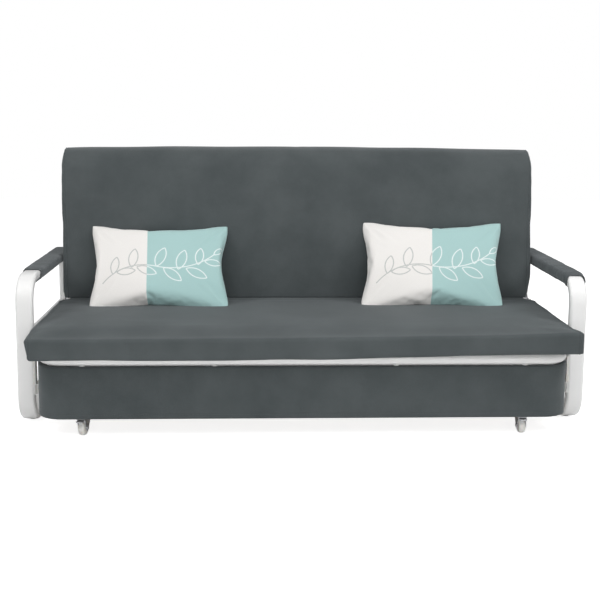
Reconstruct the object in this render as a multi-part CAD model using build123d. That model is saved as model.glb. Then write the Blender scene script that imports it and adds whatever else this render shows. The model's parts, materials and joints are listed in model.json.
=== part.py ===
from build123d import *
import os
from math import cos, radians, sin

os.makedirs("parts", exist_ok=True)

# A sofa bed: two closed tube arms carry a pull-out seat and a fold-down back.
# All lengths are in millimetres and all angles in degrees.
# +X is to the right, +Y to the back, +Z up, and the origin is on the floor under the middle.

# Driving dimensions of the whole sofa
overall_width = 1930.0
overall_depth = 940.0
seat_top = 358.0
seat_overhang = 178.0
hinge_setback = 292.0
back_top = 927.0
back_lean = 10.0
rest_gap = 0.3
weld_overrun = 6.0

# Arm loops of flat-oval tube
arm_tube_top = 514.0
arm_tube_width = 58.0
arm_tube_thickness = 30.0
arm_tube_wall = 1.5
arm_edge_round = 10.0
arm_corner_radius = 92.0
glide_setback = 105.0
glide_height = 5.0
glide_radius = 18.0
glide_stem_radius = 4.0
glide_stem_length = 9.0

# Padded sleeves on the armrests
sleeve_thickness = 6.7
left_sleeve_setback = 137.0
right_sleeve_front_angle = 28.0
sleeve_rear_angle = 20.0

# Side rails at seat level
side_rail_drop = 40.0
side_rail_height = 40.0
side_rail_width = 20.0
side_rail_wall = 1.5
side_rail_edge_round = 6.0

# Runner channels and what is fixed at the legs
channel_base = 112.0
channel_height = 36.0
channel_depth = 19.0
channel_wall = 2.0
stop_length = 20.0
guide_pad_thickness = 4.0
guide_pad_height = 90.0
bolt_radius = 4.0
bolt_length = 22.0
bolt_head_radius = 6.5
bolt_head_height = 5.0
bolt_access = 1.0

# Cross members between the arms
stretcher_base = 180.0
stretcher_height = 40.0
stretcher_width = 20.0
stretcher_wall = 1.5
cross_bar_radius = 12.5
cross_bar_wall = 1.5
cross_bar_clearance = 12.5
hanger_thickness = 4.0
hanger_width = 40.0
hanger_bolt_pitch = 20.0

# Pull-out frame
pullout_side_gap = 24.0
pullout_setback = 53.0
pullout_corner_radius = 88.0
seat_tube_radius = 19.0
seat_tube_wall = 1.5
rail_overhang = 7.0
cap_flange = 2.0
cap_depth = 14.0
rear_bar_radius = 16.0
rear_bar_setback = 48.0
slat_count = 10
slat_width = 55.0
slat_thickness = 10.0
slat_end_gap = 3.0
pocket_wall = 3.0
pocket_depth = 25.0
slat_play = 0.2

# Front skirt under the seat
skirt_bottom = 65.0
skirt_top_gap = 1.0
skirt_wrap = 147.0
skirt_corner_cut = 80.0
cover_thickness = 1.8
board_thickness = 4.5
cover_gap = 0.2
skirt_rail_radius = 12.5
skirt_rail_wall = 1.5
skirt_rail_lift = 4.5
skirt_rail_wrap = 95.0
outer_post_inset = 156.0
inner_post_share = 0.41

# Hinges and rollers between the three bodies
plate_thickness = 4.0
eye_radius = 24.0
pin_radius = 5.0
pin_head_radius = 8.0
pin_head_height = 3.0
running_clearance = 0.05
roller_radius = 14.0
roller_width = 14.0
roller_side_gap = 2.0
roller_pin_radius = 4.0
roller_lobe_radius = 15.5
roller_setback = 2.0
roller_round = 1.0

# Casters
caster_setback = 114.0
caster_trail = 22.0
caster_plate_thickness = 3.0
caster_plate_half_width = 30.0
caster_plate_front = 12.0
caster_plate_back = 36.0
left_caster_turn = 12.0
wheel_radius = 25.0
wheel_width = 22.0
wheel_round = 7.0
axle_radius = 4.0
axle_head_radius = 6.0
axle_head_height = 3.0
fork_side_gap = 1.0
fork_plate_thickness = 2.5
race_radius = 18.0
race_height = 3.3
bridge_height = 6.0
fork_front = 44.0
fork_rear = 14.0
fork_foot = 8.0
kingpin_radius = 5.0
kingpin_head_radius = 8.0
kingpin_head_height = 3.0
brake_pin_radius = 3.0
brake_hub_radius = 4.0
brake_pin_forward = 15.0
brake_pin_lift = 26.0
brake_lever_length = 23.0
brake_lever_thickness = 4.0
brake_lever_half_width = 11.0
brake_side_gap = 0.3

# Seat cushion
cushion_side_gap = 7.0
cushion_thickness = 80.0
cushion_gap = 0.2
cushion_edge_round = 14.0
seat_edge_run = 14.0
crown_run = 160.0
cushion_crown = 6.0
cushion_front_drop = 3.0
notch_side_clearance = 7.0
notch_clearance = 9.0

# Backrest
pad_thickness = 80.0
pad_top_gap = 1.0
pad_edge_run = 20.0
pad_crown = 5.0
pad_bottom_clearance = 1.8
back_tube_radius = 16.0
back_tube_wall = 1.5
back_tube_inset = 33.0
back_tube_start = 45.0
back_bend_radius = 70.0
roll_tail = 40.0
roll_gap = 0.3
lower_bar_radius = 12.5
lower_bar_height = 60.0
back_pocket_inset = 0.4
back_slat_margin = 35.0
back_plate_lobe_radius = 15.7
spacer_radius = 8.0
spacer_low = 75.0
spacer_high = 150.0

# Throw pillows
pillow_width = 492.0
pillow_height = 345.0
pillow_thickness = 138.0
left_pillow_lean = 38.0
right_pillow_lean = 34.0
left_pillow_share = 0.578
right_pillow_share = 0.548
pillow_corner_height = 8.0
pillow_side_draw = 10.0
pillow_seat_gap = 0.4
pillow_rest_crown_share = 0.8

# Places worked out from the driving dimensions
front_y = -overall_depth / 2
rear_y = overall_depth / 2
arm_front_y = front_y + seat_overhang
arm_depth = rear_y - arm_front_y
arm_outer_x = overall_width / 2
arm_inner_x = arm_outer_x - arm_tube_width
arm_mid_x = arm_outer_x - arm_tube_width / 2
arm_mid_y = rear_y - arm_depth / 2
arm_height = arm_tube_top - glide_height
arm_mid_z = glide_height + arm_height / 2
front_leg_y = arm_front_y + arm_tube_thickness / 2
rear_leg_y = rear_y - arm_tube_thickness / 2
cushion_base = seat_top - cushion_thickness
frame_top = cushion_base - cushion_gap
side_rail_top = seat_top - side_rail_drop
side_rail_inner_x = arm_mid_x - side_rail_width / 2
hinge_y = rear_y - hinge_setback
hinge_z = seat_top - cushion_thickness / 2
seat_half_width = arm_inner_x - cushion_side_gap
pullout_half_width = arm_inner_x - pullout_side_gap
notch_half_width = pullout_half_width - notch_side_clearance
outer_post_x = pullout_half_width - outer_post_inset
inner_post_x = outer_post_x * inner_post_share
pullout_front_y = front_y + pullout_setback
seat_tube_z = frame_top - seat_tube_radius
seat_tube_bottom = frame_top - 2 * seat_tube_radius
rail_end_y = hinge_y + rail_overhang
rear_bar_y = hinge_y - rear_bar_setback
channel_inner_x = arm_inner_x - channel_depth
channel_web_x = arm_inner_x - channel_wall
channel_mid_z = channel_base + channel_height / 2
roller_y = hinge_y + roller_setback
roller_z = channel_base + channel_wall + rest_gap + roller_radius
cross_bar_y = rail_end_y + cap_flange + cross_bar_clearance + cross_bar_radius
pad_half = pad_thickness / 2
pad_top_half_width = arm_inner_x - pad_top_gap
back_tube_x = pullout_half_width - back_tube_inset
left_pillow_x = -seat_half_width * left_pillow_share
right_pillow_x = seat_half_width * right_pillow_share
back_tube_depth = pad_thickness + roll_gap + back_tube_radius - pad_half
flat_frame_bottom = hinge_z - back_tube_depth - back_tube_radius
cross_bar_z = flat_frame_bottom - rest_gap - cross_bar_radius
roll_radius = pad_thickness + roll_gap + back_tube_radius
roll_rise = back_top - roll_radius - hinge_z + back_tube_depth * sin(radians(back_lean))
roll_height = roll_rise / cos(radians(back_lean))
plate_inner_x = pullout_half_width
plate_outer_x = plate_inner_x + plate_thickness
back_plate_x = plate_outer_x + rest_gap
back_plate_outer_x = back_plate_x + plate_thickness
skirt_inset = cover_thickness + cover_gap + board_thickness
skirt_rail_inset = skirt_inset + skirt_rail_radius
skirt_rail_z = skirt_bottom + skirt_rail_lift + skirt_rail_radius
skirt_top = seat_tube_bottom - skirt_top_gap
post_y = pullout_front_y + skirt_rail_inset
caster_y = front_y + caster_setback
caster_plate_top = skirt_rail_z - skirt_rail_radius
fork_top = caster_plate_top - caster_plate_thickness - rest_gap
fork_inner_x = wheel_width / 2 + fork_side_gap
fork_outer_x = fork_inner_x + fork_plate_thickness
back_location = Pos(0, hinge_y, hinge_z) * Rot(-back_lean, 0, 0)


def block(x_range, y_range, z_range):
    """A box between two values on each axis."""
    size = [abs(high - low) for low, high in (x_range, y_range, z_range)]
    middle = [(low + high) / 2 for low, high in (x_range, y_range, z_range)]
    return Pos(*middle) * Box(*size)


def rod_x(radius, x_start, x_end, y, z):
    """A round bar along X."""
    return Pos((x_start + x_end) / 2, y, z) * Rot(0, 90, 0) * Cylinder(radius, abs(x_end - x_start))


def rod_z(radius, x, y, z_start, z_end):
    """A round bar along Z."""
    return Pos(x, y, (z_start + z_end) / 2) * Cylinder(radius, z_end - z_start)


def side_plane(x):
    """A sketch plane that looks along X, with Y across it and Z up."""
    return Plane(origin=(x, 0, 0), x_dir=(0, 1, 0), z_dir=(1, 0, 0))


def slab(outline, x, thickness):
    """A flat plate with an outline given in Y and Z, from an X value outwards."""
    return extrude(side_plane(x) * outline, thickness, dir=(1, 0, 0))


def other_side(shape):
    """The same piece for the left side."""
    return mirror(shape, Plane.YZ)


def save(name, *solids):
    """Write one node, with all its solids."""
    shape = solids[0] if len(solids) == 1 else Compound(children=[s for s in solids])
    export_step(shape, f"parts/{name}.step")


def save_pair(name, shape):
    """Write the right piece and its mirrored left twin as two nodes."""
    save(f"{name}_right", shape)
    save(f"{name}_left", other_side(shape))


def save_both(name, shapes):
    """Write right pieces and their left twins as one node."""
    solids = list(shapes) + [other_side(shape) for shape in shapes]
    save(name, *[solid for shape in solids for solid in shape.solids()])


# Arm loops


def arm_ring(grow):
    """The closed loop of flat-oval bar, grown all round by a length."""
    radius = arm_corner_radius + grow
    hollow = arm_tube_thickness + grow
    outer = RectangleRounded(arm_depth + 2 * grow, arm_height + 2 * grow, radius)
    inner = RectangleRounded(
        arm_depth - 2 * hollow, arm_height - 2 * hollow, arm_corner_radius - hollow
    )
    plane = Plane(
        origin=(arm_inner_x - grow, arm_mid_y, arm_mid_z), x_dir=(0, 1, 0), z_dir=(1, 0, 0)
    )
    ring = extrude(plane * (outer - inner), arm_tube_width + 2 * grow)
    ends = ring.faces().sort_by(Axis.X)
    return fillet(ends[0].edges() + ends[-1].edges(), arm_edge_round + grow)


def glide_places():
    """The Y places of the glides under a loop's bottom run."""
    return (arm_front_y + glide_setback, rear_y - glide_setback)


def leg_bolt_places():
    """The Y places of the bolts that hold a channel to the two legs."""
    return (front_leg_y, rear_leg_y)


def leg_bolts(radius, start_x):
    """Bars along X where the channel's bolts go."""
    end_x = channel_web_x + bolt_length
    return [rod_x(radius, start_x, end_x, y, channel_mid_z) for y in leg_bolt_places()]


def arm_loop():
    loop = arm_ring(0) - arm_ring(-arm_tube_wall)
    for y in glide_places():
        top = glide_height + glide_stem_length
        loop -= rod_z(glide_stem_radius, arm_mid_x, y, 0, top)
    for bar in leg_bolts(bolt_radius, channel_web_x):
        loop -= bar
    return loop


def floor_glides():
    glides = []
    for y in glide_places():
        pad = rod_z(glide_radius, arm_mid_x, y, 0, glide_height)
        stem = rod_z(glide_stem_radius, arm_mid_x, y, 0, glide_height + glide_stem_length)
        glides.append(pad + stem)
    return glides


def arm_sleeve(front_setback, front_angle):
    """A fabric tube round the top run, cut off in front by a plane from a setback at an angle."""
    shell = arm_ring(rest_gap + sleeve_thickness) - arm_ring(rest_gap)
    bend_z = arm_tube_top - arm_corner_radius
    front_cut_y = arm_front_y + front_setback
    rear_bend_y = rear_y - arm_corner_radius
    reach = arm_corner_radius * 2
    front_turn = radians(front_angle)
    rear_turn = radians(sleeve_rear_angle)
    outline = Polygon(
        (front_cut_y, bend_z),
        (front_cut_y - reach * sin(front_turn), bend_z + reach * cos(front_turn)),
        (rear_bend_y + reach * sin(rear_turn), bend_z + reach * cos(rear_turn)),
        (rear_bend_y, bend_z),
        align=None,
    )
    width = arm_tube_width + 4 * sleeve_thickness
    region = slab(outline, arm_mid_x - width / 2, width)
    return shell & region


save_pair("arm_loop", arm_loop())
save("arm_sleeve_right", arm_sleeve(arm_corner_radius, right_sleeve_front_angle))
save("arm_sleeve_left", other_side(arm_sleeve(left_sleeve_setback, 0)))
save_both("floor_glides", floor_glides())

# Side rails, channels and cross members


def box_tube(x_range, y_range, z_range, wall, open_axis):
    """A rectangular tube, open at both ends along one axis."""
    ranges = [x_range, y_range, z_range]
    inner = [r if axis == open_axis else (r[0] + wall, r[1] - wall) for axis, r in enumerate(ranges)]
    return block(*ranges) - block(*inner)


def hanger_bolt_places():
    """The Y places of the bolts that hold a hanger to its side rail."""
    return (cross_bar_y - hanger_bolt_pitch / 2, cross_bar_y + hanger_bolt_pitch / 2)


def hanger_bolts(radius, start_x):
    """Bars along X where the hanger's bolts go."""
    end_x = side_rail_inner_x + side_rail_width / 2
    z = side_rail_top - side_rail_height / 2
    return [rod_x(radius, start_x, end_x, y, z) for y in hanger_bolt_places()]


def side_rail():
    x_range = (side_rail_inner_x, side_rail_inner_x + side_rail_width)
    y_range = (arm_front_y + arm_tube_thickness, rear_y - arm_tube_thickness)
    z_range = (side_rail_top - side_rail_height, side_rail_top)
    solid = block(x_range, y_range, z_range)
    solid = fillet(solid.edges().filter_by(Axis.Y), side_rail_edge_round)
    hollow_x = (x_range[0] + side_rail_wall, x_range[1] - side_rail_wall)
    hollow_z = (z_range[0] + side_rail_wall, z_range[1] - side_rail_wall)
    hollow = block(hollow_x, y_range, hollow_z)
    hollow = fillet(hollow.edges().filter_by(Axis.Y), side_rail_edge_round - side_rail_wall)
    rail = solid - hollow
    for bar in hanger_bolts(bolt_radius, side_rail_inner_x):
        rail -= bar
    return rail


def runner_channel():
    x_range = (channel_inner_x, arm_inner_x)
    y_range = (arm_front_y, rear_y)
    channel = block(x_range, y_range, (channel_base, channel_base + channel_height))
    groove_z = (channel_base + channel_wall, channel_base + channel_height - channel_wall)
    channel -= block((channel_inner_x, channel_web_x), y_range, groove_z)
    for bar in leg_bolts(bolt_radius, channel_web_x):
        channel -= bar
    return channel


def runner_stop():
    """A plastic block in the channel's front end, with a hole over the bolt's head."""
    y_range = (front_leg_y - stop_length / 2, front_leg_y + stop_length / 2)
    z_low = channel_base + channel_wall
    z_high = channel_base + channel_height - channel_wall
    stop = block((channel_inner_x, channel_web_x), y_range, (z_low, z_high))
    hole = rod_x(bolt_head_radius + bolt_access, channel_inner_x, channel_web_x, front_leg_y, channel_mid_z)
    return stop - hole


def guide_pad():
    """A plastic wear pad on the leg's inner face, above the channel."""
    x_range = (arm_inner_x - guide_pad_thickness, arm_inner_x)
    edge = arm_tube_thickness / 2 - arm_edge_round
    base = channel_base + channel_height
    pad = block(x_range, (front_leg_y - edge, front_leg_y + edge), (base, base + guide_pad_height))
    wings = (front_leg_y - arm_tube_thickness / 2, front_leg_y + arm_tube_thickness / 2)
    pad += block((x_range[0], arm_inner_x + guide_pad_thickness), wings, (base, base + guide_pad_height))
    return pad - arm_ring(0)


def rear_stretcher():
    x_reach = arm_inner_x + weld_overrun
    y_range = (rear_leg_y - stretcher_width / 2, rear_leg_y + stretcher_width / 2)
    z_range = (stretcher_base, stretcher_base + stretcher_height)
    tube = box_tube((-x_reach, x_reach), y_range, z_range, stretcher_wall, 0)
    legs = arm_ring(0)
    return tube - legs - other_side(legs)


def cross_bar():
    reach = side_rail_inner_x - hanger_thickness
    bar = rod_x(cross_bar_radius, -reach, reach, cross_bar_y, cross_bar_z)
    return bar - rod_x(cross_bar_radius - cross_bar_wall, -reach, reach, cross_bar_y, cross_bar_z)


def cross_bar_hanger():
    x_range = (side_rail_inner_x - hanger_thickness, side_rail_inner_x)
    y_range = (cross_bar_y - hanger_width / 2, cross_bar_y + hanger_width / 2)
    plate = block(x_range, y_range, (cross_bar_z - cross_bar_radius, side_rail_top - side_rail_edge_round))
    for bar in hanger_bolts(bolt_radius, x_range[0]):
        plate -= bar
    return plate


def frame_bolts():
    """Bolts of one side: a shank and a round head each."""
    bolts = []
    hanger_x = side_rail_inner_x - hanger_thickness
    sets = ((leg_bolts, channel_web_x), (hanger_bolts, hanger_x))
    for bars, seat_x in sets:
        shanks = bars(bolt_radius, seat_x)
        places = [(bar.center().Y, bar.center().Z) for bar in shanks]
        for shank, (y, z) in zip(shanks, places):
            bolts.append(shank + rod_x(bolt_head_radius, seat_x - bolt_head_height, seat_x, y, z))
    return bolts


save_pair("side_rail", side_rail())
save_pair("runner_channel", runner_channel())
save_both("runner_stops", [runner_stop()])
save_both("guide_pads", [guide_pad()])
save("rear_stretcher", rear_stretcher())
save("cross_bar", cross_bar())
save_both("cross_bar_hangers", [cross_bar_hanger()])
save_both("frame_bolts", frame_bolts())

# Pull-out frame


def front_loop_path(inset, z, end_y):
    """The centre line of a tube that runs round the front and both sides of the seat."""
    x = pullout_half_width - inset
    y = pullout_front_y + inset
    points = [(-x, end_y, z), (-x, y, z), (x, y, z), (x, end_y, z)]
    return FilletPolyline(*points, radius=pullout_corner_radius - inset)


def round_tube(path, radius, wall):
    """A round tube along a path, or a full bar where there is no wall."""
    plane = Plane(origin=path @ 0, z_dir=path % 0)
    tube = sweep(plane * Circle(radius), path)
    if wall:
        tube -= sweep(plane * Circle(radius - wall), path)
    return tube


def seat_rail(wall):
    path = front_loop_path(seat_tube_radius, seat_tube_z, rail_end_y)
    return round_tube(path, seat_tube_radius, wall)


def rear_bar(radius):
    reach = pullout_half_width - seat_tube_radius
    return rod_x(radius, -reach, reach, rear_bar_y, seat_tube_z)


def seat_rear_bar():
    return rear_bar(rear_bar_radius) - rear_bar(rear_bar_radius - seat_tube_wall) - seat_rail(0)


def rail_end_cap():
    """A plastic plug in the open end of the seat rail."""
    x = pullout_half_width - seat_tube_radius
    place = Pos(x, rail_end_y, seat_tube_z) * Rot(-90, 0, 0)
    outwards = (Align.CENTER, Align.CENTER, Align.MIN)
    inwards = (Align.CENTER, Align.CENTER, Align.MAX)
    flange = Cylinder(seat_tube_radius, cap_flange, align=outwards)
    plug = Cylinder(seat_tube_radius - seat_tube_wall, cap_depth, align=inwards)
    return place * (flange + plug)


def slat_places(half_span):
    """The X places of the slats, spread evenly between two side tubes."""
    pitch = 2 * half_span / slat_count
    return [-half_span + pitch * (index + 0.5) for index in range(slat_count)]


def seat_slat_ends():
    front = pullout_front_y + 2 * seat_tube_radius + slat_end_gap
    rear = rear_bar_y - rear_bar_radius - slat_end_gap
    return front, rear


def seat_slat(x, play):
    front, rear = seat_slat_ends()
    top = frame_top - pocket_wall
    half = slat_width / 2 + play
    return block((x - half, x + half), (front - play, rear + play), (top - slat_thickness - play, top + play))


def seat_pockets(x, rail, bar):
    """The two plastic pockets that hold one slat's ends."""
    front, rear = seat_slat_ends()
    half = slat_width / 2 + pocket_wall
    base = frame_top - slat_thickness - 2 * pocket_wall
    slat = seat_slat(x, slat_play)
    front_y_range = (pullout_front_y + seat_tube_radius, front + pocket_depth)
    rear_y_range = (rear - pocket_depth, rear_bar_y)
    x_range = (x - half, x + half)
    front_pocket = block(x_range, front_y_range, (base, frame_top)) - rail - slat
    rear_pocket = block(x_range, rear_y_range, (base, frame_top)) - bar - slat
    return front_pocket.solids() + rear_pocket.solids()


def seat_slat_places():
    return slat_places(pullout_half_width - 2 * seat_tube_radius)


def seat_pocket_set():
    rail = seat_rail(0)
    bar = rear_bar(rear_bar_radius)
    return [pocket for x in seat_slat_places() for pocket in seat_pockets(x, rail, bar)]


save("seat_rail", seat_rail(seat_tube_wall))
save("seat_rear_bar", seat_rear_bar())
save_both("rail_end_caps", [rail_end_cap()])
save("seat_slats", *[seat_slat(x, 0) for x in seat_slat_places()])
save("seat_slat_holders", *seat_pocket_set())

# Front skirt


def skirt_plan(inset, overrun):
    """The area inside the skirt's outline in plan, drawn in by an inset."""
    half = pullout_half_width - inset
    front = pullout_front_y + inset
    rear = pullout_front_y + skirt_wrap + overrun
    area = Pos(0, (front + rear) / 2) * Rectangle(2 * half, rear - front)
    corners = area.vertices().group_by(Axis.Y)[0]
    return fillet(corners, pullout_corner_radius - inset)


def skirt_corner():
    """What is cut from the lower rear corners of the skirt's wrapped ends."""
    rear = pullout_front_y + skirt_wrap
    centre_y = rear - skirt_corner_cut
    centre_z = skirt_bottom + skirt_corner_cut
    reach = pullout_half_width + weld_overrun
    cut = block((-reach, reach), (centre_y, rear + weld_overrun), (skirt_bottom - weld_overrun, centre_z))
    return cut - rod_x(skirt_corner_cut, -reach, reach, centre_y, centre_z)


def skirt_shell(inset, thickness):
    """A panel that runs round the front and both ends."""
    band = skirt_plan(inset, 0) - skirt_plan(inset + thickness, weld_overrun)
    panel = extrude(Pos(0, 0, skirt_bottom) * band, skirt_top - skirt_bottom)
    return panel - skirt_corner()


def skirt_rail(wall):
    end_y = pullout_front_y + skirt_rail_wrap
    path = front_loop_path(skirt_rail_inset, skirt_rail_z, end_y)
    return round_tube(path, skirt_rail_radius, wall)


def skirt_post(x, rail, lower_rail):
    post = rod_z(skirt_rail_radius, x, post_y, skirt_rail_z, seat_tube_z)
    post -= rod_z(skirt_rail_radius - skirt_rail_wall, x, post_y, skirt_rail_z, seat_tube_z)
    return (post - rail - lower_rail).solids().sort_by(SortBy.VOLUME)[-1]


def skirt_posts():
    rail = seat_rail(0)
    lower_rail = skirt_rail(0)
    return [skirt_post(x, rail, lower_rail) for x in (inner_post_x, outer_post_x)]


save("skirt_rail", skirt_rail(skirt_rail_wall))
save_both("skirt_posts", skirt_posts())
save("skirt_board", skirt_shell(cover_thickness + cover_gap, board_thickness))
save("skirt_cover", skirt_shell(0, cover_thickness))

# Hinge plates, rollers and pins


def lobed_plate(x, thickness, lobes):
    """A flat plate round a row of bosses, given as (y, z, radius)."""
    outline = Sketch() + [Pos(y, z) * Circle(radius) for y, z, radius in lobes]
    for (y1, z1, r1), (y2, z2, r2) in zip(lobes, lobes[1:]):
        run = Vector(y2 - y1, z2 - z1)
        side = Vector(-run.Y, run.X).normalized()
        corners = [
            Vector(y1, z1) + side * r1,
            Vector(y1, z1) - side * r1,
            Vector(y2, z2) - side * r2,
            Vector(y2, z2) + side * r2,
        ]
        outline += Polygon(*[(corner.X, corner.Y) for corner in corners], align=None)
    return slab(outline, x, thickness)


def side_plate():
    """The seat's plate, with the hinge eye at its top and the roller at its foot."""
    lobes = [(hinge_y, hinge_z, eye_radius), (roller_y, roller_z, roller_lobe_radius)]
    plate = lobed_plate(plate_inner_x, plate_thickness, lobes)
    plate -= rod_x(pin_radius, plate_inner_x, plate_outer_x, hinge_y, hinge_z)
    return plate - rod_x(roller_pin_radius, plate_inner_x, plate_outer_x, roller_y, roller_z)


def hinge_pin():
    head_x = back_plate_outer_x + rest_gap
    shank = rod_x(pin_radius, plate_inner_x - pin_head_height, head_x + pin_head_height, hinge_y, hinge_z)
    inner_head = rod_x(pin_head_radius, plate_inner_x - pin_head_height, plate_inner_x, hinge_y, hinge_z)
    outer_head = rod_x(pin_head_radius, head_x, head_x + pin_head_height, hinge_y, hinge_z)
    return shank + inner_head + outer_head


def roller_span():
    start = plate_outer_x + roller_side_gap
    return start, start + roller_width


def roller_pin():
    tip_x = roller_span()[1]
    shank = rod_x(roller_pin_radius, plate_inner_x - pin_head_height, tip_x, roller_y, roller_z)
    head = rod_x(pin_head_radius, plate_inner_x - pin_head_height, plate_inner_x, roller_y, roller_z)
    return shank + head


def runner_roller():
    start, end = roller_span()
    roller = rod_x(roller_radius, start, end, roller_y, roller_z)
    rims = roller.edges().filter_by(GeomType.CIRCLE)
    roller = fillet(rims, roller_round)
    return roller - rod_x(roller_pin_radius + running_clearance, start, end, roller_y, roller_z)


save_pair("side_plate", side_plate())
save_both("hinge_pins", [hinge_pin()])
save_both("roller_pins", [roller_pin()])
save_pair("runner_roller", runner_roller())

# Casters, each made about its kingpin with the wheel towards the front


def caster_plate():
    low = caster_plate_top - caster_plate_thickness
    front = post_y - caster_plate_front
    rear = caster_y + caster_plate_back
    x_range = (outer_post_x - caster_plate_half_width, outer_post_x + caster_plate_half_width)
    plate = block(x_range, (front, rear), (low, caster_plate_top))
    return plate - rod_z(kingpin_radius + running_clearance, outer_post_x, caster_y, low, caster_plate_top)


def brake_pin_place():
    return -caster_trail - brake_pin_forward, wheel_radius + brake_pin_lift


def caster_fork():
    """Two cheeks under a bridge, a bearing race and the kingpin."""
    crown = fork_top - race_height
    wheel_y = -caster_trail
    outline = Polygon(
        (fork_rear, crown),
        (-fork_front, crown),
        (wheel_y - brake_pin_forward - brake_hub_radius, wheel_radius + brake_pin_lift),
        (wheel_y - fork_foot, wheel_radius - fork_foot),
        (wheel_y + fork_foot, wheel_radius - fork_foot),
        align=None,
    )
    cheek = slab(outline, fork_inner_x, fork_plate_thickness)
    fork = cheek + other_side(cheek)
    fork += block((-fork_outer_x, fork_outer_x), (-fork_front, fork_rear), (crown - bridge_height, crown))
    fork += rod_z(race_radius, 0, 0, crown, fork_top)
    head_z = caster_plate_top + rest_gap
    fork += rod_z(kingpin_radius, 0, 0, crown, head_z + kingpin_head_height)
    fork += rod_z(kingpin_head_radius, 0, 0, head_z, head_z + kingpin_head_height)
    fork -= rod_x(axle_radius, -fork_outer_x, fork_outer_x, wheel_y, wheel_radius)
    pin_y, pin_z = brake_pin_place()
    return fork - rod_x(brake_pin_radius + running_clearance, -fork_outer_x, fork_outer_x, pin_y, pin_z)


def caster_axle():
    end = fork_outer_x + axle_head_height
    axle = rod_x(axle_radius, -end, end, -caster_trail, wheel_radius)
    for side in (-1, 1):
        axle += rod_x(axle_head_radius, side * fork_outer_x, side * end, -caster_trail, wheel_radius)
    return axle


def caster_wheel():
    half = wheel_width / 2
    wheel = rod_x(wheel_radius, -half, half, -caster_trail, wheel_radius)
    rims = wheel.edges().filter_by(GeomType.CIRCLE)
    wheel = fillet(rims, wheel_round)
    return wheel - rod_x(axle_radius + running_clearance, -half, half, -caster_trail, wheel_radius)


def caster_brake():
    """A foot lever on a pin across the fork."""
    pin_y, pin_z = brake_pin_place()
    hub_x = fork_inner_x - brake_side_gap
    lever_y = (pin_y - brake_lever_length, pin_y)
    half = brake_lever_half_width
    lever_z = (pin_z + brake_hub_radius - brake_lever_thickness, pin_z + brake_hub_radius)
    brake = rod_x(brake_pin_radius, -fork_outer_x, fork_outer_x, pin_y, pin_z)
    brake += rod_x(brake_hub_radius, -hub_x, hub_x, pin_y, pin_z)
    return brake + block((-half, half), lever_y, lever_z)


def save_casters():
    makers = {
        "caster_fork": caster_fork,
        "caster_axle": caster_axle,
        "caster_wheel": caster_wheel,
        "caster_brake": caster_brake,
    }
    for name, make in makers.items():
        shape = make()
        save(f"{name}_right", Pos(outer_post_x, caster_y, 0) * shape)
        save(f"{name}_left", Pos(-outer_post_x, caster_y, 0) * Rot(0, 0, -left_caster_turn) * shape)


save_pair("caster_plate", caster_plate())
save_casters()

# Seat cushion, lofted through sections along X

# Shares of the edge round at which the sections stand, and how far each is drawn in
edge_station_shares = (0.0, 0.12, 0.35, 1.0)
edge_inset_shares = (1.0, 0.55, 0.22, 0.0)
edge_crown_share = 0.05
inner_crown_shares = (0.7, 0.95, 1.0)
edge_depth_share = 0.5
low_inset_share = 0.5
roll_inset_share = 1.6


def curve(first, *others):
    """A closed wire through (kind, points) pieces that starts at the first point."""
    here = Vector(*first)
    edges = []
    for piece in others:
        points = [Vector(*point) for point in piece]
        if len(points) == 1:
            edges.append(Edge.make_line(here, points[0]))
        else:
            edges.append(Edge.make_three_point_arc(here, points[0], points[1]))
        here = points[-1]
    return Wire(edges)


def diagonal(centre, radius, side_y, side_z):
    """The middle point of a quarter arc, on the given sides of its centre."""
    step = radius * cos(radians(45))
    return centre[0] + side_y * step, centre[1] + side_z * step


def cushion_section(x, inset, crown):
    """The outline of the seat cushion at one X, drawn in by an inset."""
    round_size = cushion_edge_round
    front = front_y + inset
    low_inset = inset * low_inset_share
    base = cushion_base + low_inset
    top = seat_top - cushion_front_drop - inset
    rear_radius = cushion_thickness / 2 - low_inset
    low_centre = (front + round_size, base + round_size)
    high_centre = (front + round_size, top - round_size)
    hinge = (hinge_y, base + rear_radius)
    middle_y = (front_y + hinge_y) / 2
    rear_top = (hinge[0], hinge[1] + rear_radius)
    points = [
        [diagonal(low_centre, round_size, -1, -1), (front, low_centre[1])],
        [(front, high_centre[1])],
        [diagonal(high_centre, round_size, -1, 1), (high_centre[0], top)],
        [(middle_y, (top + rear_top[1]) / 2 + crown), rear_top],
        [diagonal(hinge, rear_radius, 1, 1), (hinge[0] + rear_radius, hinge[1])],
        [diagonal(hinge, rear_radius, 1, -1), (hinge[0], base)],
        [(low_centre[0], base)],
    ]
    start = (x, low_centre[0], base)
    return curve(start, *[[(x, y, z) for y, z in piece] for piece in points])


def mirrored_stations(half_width, depth, span):
    """(x, edge share, crown share) from the left end to the right end."""
    ends = [
        (half_width - depth * place, share, edge_crown_share)
        for place, share in zip(edge_station_shares, edge_inset_shares)
    ]
    near, far, middle = inner_crown_shares
    right = ends + [(half_width - span, 0, near), (half_width / 2, 0, far)]
    left = [(-x, share, crown) for x, share, crown in right]
    return left + [(0, 0, middle)] + right[::-1]


def seat_cushion():
    stations = mirrored_stations(seat_half_width, seat_edge_run, crown_run)
    sections = [
        cushion_section(x, share * cushion_edge_round * edge_depth_share, crown * cushion_crown)
        for x, share, crown in stations
    ]
    cushion = Solid.make_loft(sections, ruled=True)
    notch_y = (hinge_y - eye_radius - notch_clearance, hinge_y + cushion_thickness)
    notch_z = (cushion_base - cushion_thickness, seat_top + cushion_thickness)
    notch = block((notch_half_width, arm_outer_x), notch_y, notch_z)
    return cushion - notch - other_side(notch)


save("seat_cushion", seat_cushion())

# Backrest, made about the hinge with its front face towards -Y, then leant back


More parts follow.
